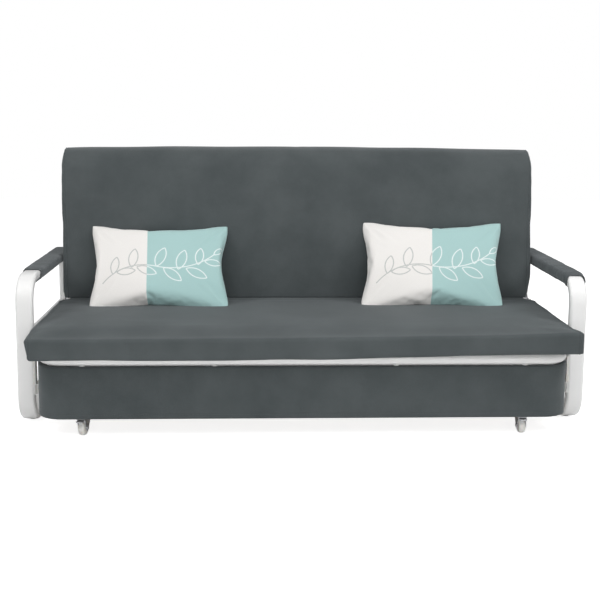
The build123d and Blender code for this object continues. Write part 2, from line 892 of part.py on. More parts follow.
def back_frame(wall):
    """An inverted U of round tube behind the pad."""
    x = back_tube_x
    y = back_tube_depth
    top = roll_height
    points = [(-x, y, back_tube_start), (-x, y, top), (x, y, top), (x, y, back_tube_start)]
    path = FilletPolyline(*points, radius=back_bend_radius)
    return round_tube(path, back_tube_radius, wall)


def lower_bar(radius):
    return rod_x(radius, -back_tube_x, back_tube_x, back_tube_depth, lower_bar_height)


def back_lower_bar():
    return lower_bar(lower_bar_radius) - lower_bar(lower_bar_radius - back_tube_wall) - back_frame(0)


def back_slat_ends():
    low = lower_bar_height + lower_bar_radius + slat_end_gap
    high = roll_height - back_tube_radius - slat_end_gap
    return low, high


def back_slat(x, play):
    low, high = back_slat_ends()
    front = pad_half + back_pocket_inset + pocket_wall
    half = slat_width / 2 + play
    y_range = (front - play, front + slat_thickness + play)
    return block((x - half, x + half), y_range, (low - play, high + play))


def back_pockets(x, frame, bar):
    low, high = back_slat_ends()
    half = slat_width / 2 + pocket_wall
    front = pad_half + back_pocket_inset
    y_range = (front, front + slat_thickness + 2 * pocket_wall)
    slat = back_slat(x, slat_play)
    x_range = (x - half, x + half)
    low_pocket = block(x_range, y_range, (lower_bar_height, low + pocket_depth)) - bar - slat
    high_pocket = block(x_range, y_range, (high - pocket_depth, roll_height)) - frame - slat
    return [shape.solids().sort_by(SortBy.VOLUME)[-1] for shape in (low_pocket, high_pocket)]


def back_slat_places():
    return slat_places(back_tube_x - back_tube_radius - back_slat_margin)


def back_pocket_set():
    frame = back_frame(0)
    bar = lower_bar(lower_bar_radius)
    return [pocket for x in back_slat_places() for pocket in back_pockets(x, frame, bar)]


def back_plate():
    """The back's hinge plate, from the eye to its two spacers on the tube."""
    lobes = [
        (0, 0, eye_radius),
        (back_tube_depth, spacer_low, back_plate_lobe_radius),
        (back_tube_depth, spacer_high, back_plate_lobe_radius),
    ]
    plate = lobed_plate(back_plate_x, plate_thickness, lobes)
    return plate - rod_x(pin_radius + running_clearance, back_plate_x, back_plate_outer_x, 0, 0)


def back_spacers():
    frame = back_frame(0)
    bars = [
        rod_x(spacer_radius, back_tube_x, back_plate_x, back_tube_depth, height) - frame
        for height in (spacer_low, spacer_high)
    ]
    return [bar.solids().sort_by(Axis.X)[-1] for bar in bars]


def pad_half_width(height):
    """Half the pad's width at a height above the hinge."""
    spread = pad_top_half_width - pullout_half_width
    return pullout_half_width + spread * height / roll_height


def pad_section(edge_offset, side, inset, roll_inset, crown):
    """The pad's hooked outline: up the front, over the top tube and down behind it."""
    lean = radians(back_lean)
    rise = pad_half + pad_bottom_clearance
    centre = back_tube_depth
    inner_radius = back_tube_radius + roll_gap
    outer_radius = roll_radius - roll_inset
    front = -pad_half + inset
    roll_front = centre - outer_radius
    rear = centre + outer_radius
    tail = roll_height - roll_tail

    def foot(depth):
        return (rise + depth * sin(lean)) / cos(lean)

    middle = (foot(front) + roll_height) / 2
    middle_front = (front + roll_front) / 2 - crown
    roll = (centre, roll_height)
    points = [
        [(middle_front, middle), (roll_front, roll_height)],
        [diagonal(roll, outer_radius, -1, 1), (centre, roll_height + outer_radius)],
        [diagonal(roll, outer_radius, 1, 1), (rear, roll_height)],
        [(rear, tail)],
        [(centre + inner_radius, tail)],
        [(centre + inner_radius, roll_height)],
        [diagonal(roll, inner_radius, 1, 1), (centre, roll_height + inner_radius)],
        [diagonal(roll, inner_radius, -1, 1), (pad_half, roll_height)],
        [(pad_half, foot(pad_half))],
        [(front, foot(front))],
    ]

    def place(point):
        return side * (pad_half_width(point[1]) - edge_offset), point[0], point[1]

    return curve(place((front, foot(front))), *[[place(p) for p in piece] for piece in points])


def pad_stations():
    """(edge offset, side, edge share, crown share) from the left end to the right end."""
    half = pad_top_half_width
    stations = []
    for x, share, crown in mirrored_stations(half, pad_edge_run, crown_run):
        stations.append((half - abs(x), 1 if x > 0 else -1, share, crown))
    return stations


def back_pad():
    sections = []
    for offset, side, share, crown in pad_stations():
        inset = share * cushion_edge_round * edge_depth_share
        roll_inset = share * cushion_edge_round * roll_inset_share
        sections.append(pad_section(offset, side, inset, roll_inset, crown * pad_crown))
    return Solid.make_loft(sections, ruled=True)


def save_back(name, *shapes):
    save(name, *[back_location * shape for shape in shapes])


def save_back_sides(name, shapes, joined):
    """Write the right and left pieces of the back, as one node or as two."""
    left = [other_side(shape) for shape in shapes]
    if joined:
        save_back(name, *shapes, *left)
    else:
        save_back(f"{name}_right", *shapes)
        save_back(f"{name}_left", *left)


save_back("back_frame", back_frame(back_tube_wall))
save_back("back_lower_bar", back_lower_bar())
save_back("back_slats", *[back_slat(x, 0) for x in back_slat_places()])
save_back("back_slat_holders", *back_pocket_set())
save_back_sides("back_plate", [back_plate()], joined=False)
save_back_sides("back_spacers", back_spacers(), joined=True)
save_back("back_pad", back_pad())

# Throw pillows

# Shares along half the width, with the shares of thickness and of extra corner height there
pillow_place_shares = (1.0, 0.9, 0.7, 0.4)
pillow_thickness_shares = (0.1, 0.5, 0.82, 0.97)
pillow_corner_shares = (1.0, 0.7, 0.3, 0.05)


def pillow_section(x, thickness, height):
    return curve(
        (x, 0, -height / 2),
        [(x, -thickness / 2, 0), (x, 0, height / 2)],
        [(x, thickness / 2, 0), (x, 0, -height / 2)],
    )


def pillow():
    """A crowned closed form whose edges pull in between its corners."""
    rows = list(zip(pillow_place_shares, pillow_thickness_shares, pillow_corner_shares))
    left = [(-place, thick, corner) for place, thick, corner in rows]
    stations = left + [(0.0, 1.0, 0.0)] + rows[::-1]
    body_height = pillow_height - 2 * pillow_corner_height
    sections = [
        pillow_section(
            place * pillow_width / 2,
            thick * pillow_thickness,
            body_height + 2 * pillow_corner_height * corner,
        )
        for place, thick, corner in stations
    ]
    body = Solid.make_loft(sections, ruled=True)
    draw_radius = (pillow_height**2 / 4 + pillow_side_draw**2) / (2 * pillow_side_draw)
    bite = Rot(90, 0, 0) * Cylinder(draw_radius, 2 * pillow_thickness)
    offset = pillow_width / 2 - pillow_side_draw + draw_radius
    return body - Pos(offset, 0, 0) * bite - Pos(-offset, 0, 0) * bite


def pillow_middle_y(middle_z, own_lean):
    """The Y at which the pillow's round rear face just clears the back's front face."""
    half_height = pillow_height / 2 - pillow_corner_height
    half_depth = pillow_thickness / 2
    face_radius = (half_height**2 + half_depth**2) / (2 * half_depth)
    face_offset = face_radius - half_depth
    lean = radians(back_lean)
    face_reach = hinge_y * cos(lean) - hinge_z * sin(lean) - pad_half
    reach = face_reach - face_radius - pad_crown * pillow_rest_crown_share - pillow_seat_gap
    centre_z = middle_z + face_offset * sin(own_lean)
    return (reach + centre_z * sin(lean)) / cos(lean) + face_offset * cos(own_lean)


def save_pillows():
    """Stand each pillow on the seat and lean it on the back."""
    shape = pillow()
    seats = (("left", left_pillow_x, left_pillow_lean), ("right", right_pillow_x, right_pillow_lean))
    for name, x, tilt in seats:
        lean = radians(tilt)
        z = seat_top + cushion_crown + pillow_seat_gap + pillow_height / 2 * cos(lean)
        y = pillow_middle_y(z, lean)
        save(f"pillow_{name}", Pos(x, y, z) * Rot(-tilt, 0, 0) * shape)


save_pillows()
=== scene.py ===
import json
from math import asin, atan2, cos, degrees, pi, radians, sin, sqrt

import bmesh
import bpy
from mathutils import Matrix, Vector, noise


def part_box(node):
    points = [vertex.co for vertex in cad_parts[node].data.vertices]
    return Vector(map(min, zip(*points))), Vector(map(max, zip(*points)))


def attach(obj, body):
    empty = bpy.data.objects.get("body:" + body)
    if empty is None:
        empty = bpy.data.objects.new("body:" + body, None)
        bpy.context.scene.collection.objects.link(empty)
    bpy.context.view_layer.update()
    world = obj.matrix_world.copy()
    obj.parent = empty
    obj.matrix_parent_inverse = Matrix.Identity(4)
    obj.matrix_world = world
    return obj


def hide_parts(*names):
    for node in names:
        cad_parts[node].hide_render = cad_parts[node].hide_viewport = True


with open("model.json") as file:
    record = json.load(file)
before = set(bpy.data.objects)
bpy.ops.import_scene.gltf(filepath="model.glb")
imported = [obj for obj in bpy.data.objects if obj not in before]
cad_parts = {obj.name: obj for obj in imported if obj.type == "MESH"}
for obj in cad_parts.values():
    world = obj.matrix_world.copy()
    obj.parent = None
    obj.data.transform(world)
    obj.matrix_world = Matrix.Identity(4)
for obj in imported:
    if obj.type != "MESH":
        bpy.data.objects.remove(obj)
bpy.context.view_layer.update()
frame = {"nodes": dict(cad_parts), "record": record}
cad = frame["nodes"]
bpy.ops.object.select_all(action="DESELECT")

# Camera
# It stands three metres in front of the seat and a little left of the middle,
# turned slightly right and down, as the straight edges in the photograph ask.
turned, lowered, rolled = 0.0428, 0.1351, 0.0078
ahead = Vector((sin(turned) * cos(lowered), cos(turned) * cos(lowered), -sin(lowered)))
side = Vector((cos(turned), -sin(turned), 0))
up = side.cross(ahead)
side, up = side * cos(rolled) + up * sin(rolled), up * cos(rolled) - side * sin(rolled)
bpy.ops.object.camera_add(location=(-0.1567, -3.5508, 1.0744))
camera = bpy.context.object
camera.rotation_euler = Matrix((side, up, -ahead)).transposed().to_euler()
camera.data.sensor_width = 36
camera.data.lens = 59.22
camera.data.shift_y = -0.0958
bpy.context.scene.camera = camera

# Light
# A softbox hangs high at each side, in front and behind, a weak one stands low in front, and
# the white room fills the shade. Colours render about as written.
bpy.context.scene.view_settings.view_transform = "Standard"
softboxes = {
    "softbox_in_front": ((0, -1.8, 2.1), (2.6, 1.1), 21),
    "softbox_low": ((0.2, -2.6, 0.5), (2.4, 0.5), 13),
    "softbox_left": ((-2.4, -1.0, 2.8), (1.2, 1.4), 34),
    "softbox_right": ((2.4, -0.9, 2.8), (1.2, 1.4), 40),
    "softbox_behind": ((0, 2.6, 2.4), (2.4, 1.2), 20),
}
for name, (spot, (width, height), power) in softboxes.items():
    bpy.ops.object.light_add(type="AREA", location=spot)
    lamp = bpy.context.object
    lamp.name = name
    lamp.data.shape = "RECTANGLE"
    lamp.data.size, lamp.data.size_y = width, height
    lamp.data.energy = power
    lamp.visible_camera = False
    lamp.rotation_euler = (Vector((0, 0, 0.4)) - Vector(spot)).to_track_quat("-Z", "Y").to_euler()

room = bpy.data.worlds.new("white_room")
bpy.context.scene.world = room
room.use_nodes = True
tree = room.node_tree
path = tree.nodes.new("ShaderNodeLightPath")
seen = tree.nodes.new("ShaderNodeMath")
seen.operation = "MAXIMUM"
tree.links.new(path.outputs["Is Camera Ray"], seen.inputs[0])
tree.links.new(path.outputs["Is Transmission Ray"], seen.inputs[1])
strength = tree.nodes.new("ShaderNodeMapRange")
strength.inputs["To Min"].default_value = 0.28
strength.inputs["To Max"].default_value = 1.0
tree.links.new(seen.outputs[0], strength.inputs["Value"])
tree.links.new(strength.outputs["Result"], tree.nodes["Background"].inputs["Strength"])
tree.nodes["Background"].inputs["Color"].default_value = (1, 1, 1, 1)

# Floor
# A plain white studio floor. It shows as white where nothing shades it, and it
# keeps the soft shadow under the sofa.
bpy.ops.mesh.primitive_grid_add(size=16, x_subdivisions=4, y_subdivisions=4, location=(0, 0, 0))
floor = bpy.context.object
floor.name = "floor"
white_floor = bpy.data.materials.new("white_floor")
white_floor.use_nodes = True
tree = white_floor.node_tree
shader = tree.nodes["Principled BSDF"]
shader.inputs["Base Color"].default_value = (0.9, 0.9, 0.9, 1)
shader.inputs["Roughness"].default_value = 0.9
shader.inputs["Specular IOR Level"].default_value = 0.1
shader.inputs["Emission Color"].default_value = (1, 1, 1, 1)
path = tree.nodes.new("ShaderNodeLightPath")
glow = tree.nodes.new("ShaderNodeMath")
glow.operation = "MULTIPLY"
glow.inputs[1].default_value = 0.78
tree.links.new(path.outputs["Is Camera Ray"], glow.inputs[0])
tree.links.new(glow.outputs[0], shader.inputs["Emission Strength"])
floor.data.materials.append(white_floor)

# Arm loops, rails and runners
# Flat-oval and round steel tube, bent, welded and powder coated in satin white.
# The coat has a very fine orange peel, and its tone and gloss change a little from place to place.


def new_finish(name, colour, rough, metal=0.0):
    """A new material and its node tree, with its shader's plain values set."""
    stuff = bpy.data.materials.new(name)
    stuff.use_nodes = True
    tree = stuff.node_tree
    shader = tree.nodes["Principled BSDF"]
    shader.inputs["Base Color"].default_value = (*colour, 1)
    shader.inputs["Roughness"].default_value = rough
    shader.inputs["Metallic"].default_value = metal
    return stuff, tree


def add_node(tree, kind, values=None, feeds=None, **settings):
    """A new node with its sockets set or fed, and its first output."""
    node = tree.nodes.new("ShaderNode" + kind)
    for name, value in settings.items():
        setattr(node, name, value)
    for socket, value in (values or {}).items():
        node.inputs[socket].default_value = value
    for socket, source in (feeds or {}).items():
        tree.links.new(source, node.inputs[socket])
    return node.outputs[0]


def object_place(tree):
    """The output that gives a point's place on the piece, in metres."""
    return tree.nodes.new("ShaderNodeTexCoord").outputs["Object"]


def feed_shader(tree, **sources):
    """Joins outputs to the shader's sockets, given with _ for each space."""
    for socket, source in sources.items():
        tree.links.new(source, tree.nodes["Principled BSDF"].inputs[socket.replace("_", " ")])


def set_shader(tree, **values):
    """Sets plain values of the shader's sockets, given with _ for each space."""
    for socket, value in values.items():
        tree.nodes["Principled BSDF"].inputs[socket.replace("_", " ")].default_value = value


def speckle(tree, place, scale, detail=2.0, rough=0.5):
    """Plain noise on the piece."""
    values = {"Scale": scale, "Detail": detail, "Roughness": rough}
    return add_node(tree, "TexNoise", values, {"Vector": place})


def spread(tree, source, low, high, start=0.3, end=0.7):
    """A value spread between two others."""
    values = {"From Min": start, "From Max": end, "To Min": low, "To Max": high}
    return add_node(tree, "MapRange", values, {"Value": source})


def two_tone(tree, source, low, high, start=0.3, end=0.7):
    """A colour between two others."""
    share = spread(tree, source, 0, 1, start, end)
    values = {"Color1": (*low, 1), "Color2": (*high, 1)}
    return add_node(tree, "MixRGB", values, {"Fac": share})


def bumps(tree, height, strength, depth, under=None):
    """Relief from a height, on top of another relief if there is one."""
    feeds = {"Height": height}
    if under:
        feeds["Normal"] = under
    return add_node(tree, "Bump", {"Strength": strength, "Distance": depth}, feeds)


powder_coat, tree = new_finish("white_powder_coat", (0.86, 0.86, 0.85), 0.34)
place = object_place(tree)
peel = speckle(tree, place, 520)
feed_shader(
    tree,
    Base_Color=two_tone(tree, speckle(tree, place, 7, 4), (0.84, 0.84, 0.83), (0.885, 0.885, 0.88)),
    Roughness=spread(tree, speckle(tree, place, 22, 5), 0.28, 0.4),
    Normal=bumps(tree, peel, 0.12, 0.0006),
)
set_shader(tree, Coat_Weight=0.25, Coat_Roughness=0.16)


def dress(stuff, *names):
    """Gives CAD nodes their material."""
    for name in names:
        cad[name].data.materials.clear()
        cad[name].data.materials.append(stuff)


dress(
    powder_coat,
    "arm_loop_left",
    "arm_loop_right",
    "side_rail_left",
    "side_rail_right",
    "runner_channel_left",
    "runner_channel_right",
    "rear_stretcher",
    "cross_bar",
    "cross_bar_hangers",
    "seat_rail",
    "seat_rear_bar",
    "skirt_rail",
    "skirt_posts",
    "back_frame",
    "back_lower_bar",
)

# Glides, plugs and slat holders
# Injection-moulded black plastic with a fine matt grain. The glides stand under the arm
# loops, the plugs close the seat rail's open ends, and the holders take the slats' ends.
black_plastic, tree = new_finish("black_plastic", (0.012, 0.012, 0.013), 0.5)
place = object_place(tree)
feed_shader(
    tree,
    Base_Color=two_tone(tree, speckle(tree, place, 60, 4), (0.010, 0.010, 0.011), (0.018, 0.018, 0.019)),
    Roughness=spread(tree, speckle(tree, place, 35, 4), 0.42, 0.62),
    Normal=bumps(tree, speckle(tree, place, 1600, 1), 0.35, 0.0002),
)
dress(
    black_plastic,
    "floor_glides",
    "rail_end_caps",
    "seat_slat_holders",
    "back_slat_holders",
)

# Hinge plates, pins, bolts and caster metal
# Punched and pressed steel, bright zinc plated, with the mottle of the plating. The pins join
# the seat's side plates to the back's, and the casters' forks turn under their plates.
zinc, tree = new_finish("zinc_plate", (0.6, 0.61, 0.63), 0.32, 1.0)
place = object_place(tree)
drawn = add_node(tree, "Mapping", {"Scale": (40, 40, 900)}, {"Vector": place})
feed_shader(
    tree,
    Base_Color=two_tone(tree, speckle(tree, place, 90, 5), (0.5, 0.51, 0.53), (0.68, 0.68, 0.69)),
    Roughness=spread(tree, speckle(tree, place, 160, 4), 0.24, 0.46),
    Normal=bumps(tree, speckle(tree, drawn, 1.0, 3), 0.12, 0.0002),
)
dress(
    zinc,
    "frame_bolts",
    "side_plate_left",
    "side_plate_right",
    "hinge_pins",
    "roller_pins",
    "caster_plate_left",
    "caster_plate_right",
    "caster_fork_left",
    "caster_fork_right",
    "caster_axle_left",
    "caster_axle_right",
    "caster_brake_left",
    "caster_brake_right",
    "back_plate_left",
    "back_plate_right",
    "back_spacers",
)

# Rollers, caster wheels, stops and wear pads
# White nylon, semi-matt, a little yellower than the powder coat. The rollers run in the
# channels, the stops close the channels' front ends, and the pads sit on the front legs.
nylon, tree = new_finish("white_nylon", (0.78, 0.77, 0.73), 0.42)
place = object_place(tree)
feed_shader(
    tree,
    Base_Color=two_tone(tree, speckle(tree, place, 120, 5), (0.7, 0.69, 0.65), (0.8, 0.79, 0.755)),
    Roughness=spread(tree, speckle(tree, place, 90, 4), 0.36, 0.55),
    Normal=bumps(tree, speckle(tree, place, 700), 0.1, 0.0003),
)
set_shader(tree, Subsurface_Weight=0.08, Subsurface_Scale=0.004)
dress(
    nylon,
    "runner_stops",
    "guide_pads",
    "runner_roller_left",
    "runner_roller_right",
    "caster_wheel_left",
    "caster_wheel_right",
)

# Slats and the board behind the skirt
# Laminated birch under a thin clear lacquer, with its grain along each slat and along the
# board. The slats' ends lie in their holders, and the board stands before the skirt rail.


def shaded(tree, colour, share):
    """A colour multiplied by a value."""
    grey = add_node(tree, "CombineXYZ", {}, {"X": share, "Y": share, "Z": share})
    feeds = {"Color1": colour, "Color2": grey}
    return add_node(tree, "MixRGB", {"Fac": 1.0}, feeds, blend_type="MULTIPLY")


def wood_finish(name, along):
    """Birch grain that runs along one axis, given by its number."""
    stuff, tree = new_finish(name, (0.6, 0.43, 0.26), 0.45)
    place = object_place(tree)
    stretch = [55.0, 55.0, 55.0]
    stretch[along] = 2.2
    grain = add_node(tree, "Mapping", {"Scale": stretch}, {"Vector": place})
    fine = [900.0, 900.0, 900.0]
    fine[along] = 18.0
    pores = add_node(tree, "Mapping", {"Scale": fine}, {"Vector": place})
    figure = speckle(tree, grain, 1.0, 6, 0.6)
    tint = two_tone(tree, figure, (0.5, 0.33, 0.185), (0.68, 0.505, 0.315))
    pore = speckle(tree, pores, 1.0, 2)
    feed_shader(
        tree,
        Base_Color=shaded(tree, tint, spread(tree, pore, 0.82, 1.0, 0.35, 0.5)),
        Roughness=spread(tree, figure, 0.36, 0.52),
        Normal=bumps(tree, pore, 0.15, 0.0002),
    )
    set_shader(tree, Coat_Weight=0.2, Coat_Roughness=0.25)
    return stuff


birch_seat = wood_finish("birch_along_seat", 1)
birch_back = wood_finish("birch_along_back", 2)
birch_board = wood_finish("birch_board", 0)
dress(birch_seat, "seat_slats")
dress(birch_back, "back_slats")
dress(birch_board, "skirt_board")

# Slate cloth of the seat, back, skirt and sleeves
# Plain-woven polyester with a short brushed nap, dyed slate grey with a faint heather.
# The sleeves' cloth is flecked more strongly.
wave_pitch = 0.314  # metres between the bands of a wave texture of scale 1


def maths(tree, operation, *inputs):
    """The result of an arithmetic node on floats and outputs."""
    values, feeds = {}, {}
    for socket, source in enumerate(inputs):
        (values if isinstance(source, float) else feeds)[socket] = source
    return add_node(tree, "Math", values, feeds, operation=operation)


def cloth_finish(name, dark, light, thread, heather):
    """Woven cloth: threads across each other, flecks of two tones and a soft sheen."""
    stuff, tree = new_finish(name, light, 0.88)
    place = object_place(tree)
    pitch = wave_pitch / thread
    turned = add_node(tree, "Mapping", {"Rotation": (radians(45), 0, 0)}, {"Vector": place})
    bands = {"Scale": pitch, "Distortion": 1.2, "Detail": 2.0, "Detail Scale": 0.35}
    warp = tree.nodes.new("ShaderNodeTexWave")
    weft = tree.nodes.new("ShaderNodeTexWave")
    warp.bands_direction, weft.bands_direction = "X", "Z"
    for threads, source in ((warp, place), (weft, turned)):
        for socket, value in bands.items():
            threads.inputs[socket].default_value = value
        tree.links.new(source, threads.inputs["Vector"])
    weave = maths(tree, "MULTIPLY", warp.outputs["Fac"], weft.outputs["Fac"])
    fleck = speckle(tree, place, 0.9 / thread, 3, 0.65)
    cloud = speckle(tree, place, 5, 5, 0.6)
    mixed = maths(tree, "ADD", fleck, cloud)
    tone = two_tone(tree, mixed, dark, light, 1.0 - heather, 1.0 + heather)
    nap = bumps(tree, speckle(tree, place, 0.4 / thread, 4), 0.25, thread * 0.5)
    feed_shader(
        tree,
        Base_Color=shaded(tree, tone, spread(tree, weave, 0.9, 1.05, 0.0, 1.0)),
        Normal=bumps(tree, weave, 0.35, thread * 0.35, nap),
    )
    set_shader(
        tree,
        Sheen_Weight=0.3,
        Sheen_Roughness=0.45,
        Sheen_Tint=(0.75, 0.8, 0.82, 1),
        Specular_IOR_Level=0.25,
    )
    return stuff


slate_cloth = cloth_finish("slate_cloth", (0.059, 0.07, 0.073), (0.09, 0.103, 0.106), 0.0011, 0.22)
sleeve_cloth = cloth_finish("sleeve_cloth", (0.052, 0.062, 0.066), (0.12, 0.13, 0.135), 0.0011, 0.3)

# Seat cushion
# A foam slab in a slate cloth cover, with a bull nose at the back that the backrest
# turns about. Its end panels are joined to the long panel by a rolled, topstitched seam.


def only(piece):
    """Makes one piece the only one selected, and active."""
    bpy.ops.object.select_all(action="DESELECT")
    piece.select_set(True)
    bpy.context.view_layer.objects.active = piece


def merged_copy(node, name):
    """A copy of a CAD solid with its loose triangles joined."""
    piece = bpy.data.objects.new(name, cad[node].data.copy())
    bpy.context.scene.collection.objects.link(piece)
    only(piece)
    bpy.ops.object.mode_set(mode="EDIT")
    bpy.ops.mesh.select_all(action="SELECT")
    bpy.ops.mesh.remove_doubles(threshold=0.00002)
    bpy.ops.object.mode_set(mode="OBJECT")
    return piece


def finish_with(piece, kind, **settings):
    """Adds a modifier and applies it."""
    only(piece)
    modifier = piece.modifiers.new(kind.lower(), kind)
    for name, value in settings.items():
        setattr(modifier, name, value)
    bpy.ops.object.modifier_apply(modifier=modifier.name)


def swell(piece, pressure, cap, frames=20):
    """Blows the cover up as cloth from inside; no point goes further than the cap."""
    only(piece)
    starts = [vertex.co.copy() for vertex in piece.data.vertices]
    cloth = piece.modifiers.new("cloth", "CLOTH")
    cloth.settings.quality = 5
    cloth.settings.mass = 0.3
    cloth.settings.tension_stiffness = 20
    cloth.settings.compression_stiffness = 20
    cloth.settings.shear_stiffness = 8
    cloth.settings.bending_stiffness = 0.6
    cloth.settings.use_pressure = True
    cloth.settings.uniform_pressure_force = pressure
    cloth.settings.effector_weights.gravity = 0
    cloth.point_cache.frame_start = 1
    cloth.point_cache.frame_end = frames
    for number in range(1, frames + 1):
        bpy.context.scene.frame_set(number)
    bpy.ops.object.modifier_apply(modifier="cloth")
    bpy.context.scene.frame_set(1)
    for vertex, start in zip(piece.data.vertices, starts):
        move = vertex.co - start
        if move.length > cap:
            vertex.co = start + move.normalized() * cap


def ease(piece, size, depth, seed):
    """Long shallow unevenness of a worn cover, along its normals."""
    normals = [vertex.normal.copy() for vertex in piece.data.vertices]
    for vertex, normal in zip(piece.data.vertices, normals):
        vertex.co += normal * depth * noise.noise(vertex.co / size + Vector((seed, 0, seed)))


def smooth(piece):
    """Shades a piece smooth."""
    only(piece)
    bpy.ops.object.shade_smooth()


def section_edges(piece, name, spot, facing):
    """The line round a piece where a plane cuts it, as loose edges."""
    line = bpy.data.objects.new(name, piece.data.copy())
    bpy.context.scene.collection.objects.link(line)
    only(line)
    bpy.ops.object.mode_set(mode="EDIT")
    bpy.ops.mesh.select_all(action="SELECT")
    bpy.ops.mesh.bisect(plane_co=spot, plane_no=facing)
    bpy.ops.mesh.select_all(action="INVERT")
    bpy.ops.mesh.delete(type="VERT")
    bpy.ops.mesh.delete(type="ONLY_FACE")
    bpy.ops.object.mode_set(mode="OBJECT")
    return line


def rolled_seam(piece, name, spot, facing, radius):
    """A thin rolled seam round a piece, where a plane cuts it."""
    line = section_edges(piece, name, spot, facing)
    bpy.ops.object.convert(target="CURVE")
    line.data.bevel_depth = radius
    line.data.bevel_resolution = 1
    bpy.ops.object.convert(target="MESH")
    return bpy.context.object


def walk(points, pitch):
    """Places and directions at an even pitch along a run of points."""
    found, left = [], pitch / 2
    for start, end in zip(points, points[1:]):
        run = end - start
        length = run.length
        while left < length:
            found.append((start + run * (left / length), run.normalized()))
            left += pitch
        left -= length
    return found


def ordered(line):
    """The points of a loose line in the order that its edges join them."""
    mesh = line.data
    beside = {vertex.index: [] for vertex in mesh.vertices}
    for edge in mesh.edges:
        a, b = edge.vertices
        beside[a].append(b)
        beside[b].append(a)
    runs, seen_points = [], set()
    for first in sorted(beside, key=lambda index: len(beside[index])):
        if first in seen_points:
            continue
        run, here = [first], first
        seen_points.add(first)
        while True:
            onward = [index for index in beside[here] if index not in seen_points]
            if not onward:
                break
            here = onward[0]
            seen_points.add(here)
            run.append(here)
        runs.append([mesh.vertices[index].co.copy() for index in run])
    return max(runs, key=len)


def stitch_run(name, points, pitch=0.0085):
    """A row of thread stitches along a run of points."""
    bpy.ops.mesh.primitive_cylinder_add(vertices=6, radius=0.00055, depth=pitch * 0.62)
    stitch = bpy.context.object
    base = stitch.data
    made = bmesh.new()
    for place, along in walk(points, pitch):
        turn = along.to_track_quat("Z", "Y").to_matrix().to_4x4()
        part = base.copy()
        part.transform(Matrix.Translation(place) @ turn)
        made.from_mesh(part)
        bpy.data.meshes.remove(part)
    bpy.data.objects.remove(stitch)
    mesh = bpy.data.meshes.new(name)
    made.to_mesh(mesh)
    made.free()
    row = bpy.data.objects.new(name, mesh)
    bpy.context.scene.collection.objects.link(row)
    return row


def topstitch(piece, name, spot, facing):
    """A row of stitches round a piece, where a plane cuts it."""
    line = section_edges(piece, name + "_line", spot, facing)
    points = ordered(line)
    bpy.data.objects.remove(line)
    return stitch_run(name, points)


def joined(name, *pieces):
    """Several meshes as one piece."""
    only(pieces[0])
    for piece in pieces:
        piece.select_set(True)
    bpy.ops.object.join()
    pieces[0].name = name
    return pieces[0]


def wear(piece, stuff, body):
    """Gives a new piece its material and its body."""
    piece.data.materials.clear()
    piece.data.materials.append(stuff)
    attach(piece, body)


slate_thread, tree = new_finish("slate_thread", (0.075, 0.085, 0.09), 0.6)
twist = speckle(tree, object_place(tree), 900)
feed_shader(tree, Base_Color=two_tone(tree, twist, (0.05, 0.06, 0.065), (0.1, 0.11, 0.115)))
seat_grain, foam_inset, swell_cap = 0.0105, 0.003, 0.009
seat_foam = merged_copy("seat_cushion", "seat_cover")
finish_with(seat_foam, "REMESH", mode="VOXEL", voxel_size=seat_grain, use_smooth_shade=True)
finish_with(seat_foam, "DISPLACE", strength=-foam_inset, mid_level=0)
seat_low, seat_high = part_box("seat_cushion")
hinge = Vector((0, 0.178, 0.318))
seat_level, nose_radius, edge_zone, edge_push, corner_blunt = 0.3586, 0.0402, 0.026, 0.016, 0.6
seam_inset, stitch_inset, seam_radius = 0.013, 0.021, 0.0016
end_clear, front_clear, top_clear, plates_from, plates_to = 0.0005, 0.0008, 0.003, 0.852, 0.872
gain_from, gain_to, square_rear = 0.06, 0.01, 0.1
# The front edge droops unevenly: its middle, slope and bow, its lift at the right, and how far
# the left end draws in below and both ends draw in behind.
droop_low, droop_high = (-0.006, 0.006, 0.006), (-0.007, 0.0075, 0.0025)
lift_low, lift_high, left_tuck, rear_tuck = 0.006, 0.005, 0.014, 0.004
swell(seat_foam, pressure=4, cap=swell_cap)
ease(seat_foam, size=0.16, depth=0.0014, seed=3)


def ramp(value, start, end):
    """0 at a start and 1 at an end, and eased between them."""
    share = max(0, min(1, (value - start) / (end - start)))
    return share * share * (3 - 2 * share)


def droop(terms, aside):
    """A droop from its terms and a share of the way from the middle to an end."""
    return terms[0] + terms[1] * aside + terms[2] * aside * aside


def corner_share(inside):
    """1 on a face of the foam's block, and 0 from the edge zone inwards."""
    return max(0, 1 - max(0, inside) / edge_zone) ** 2


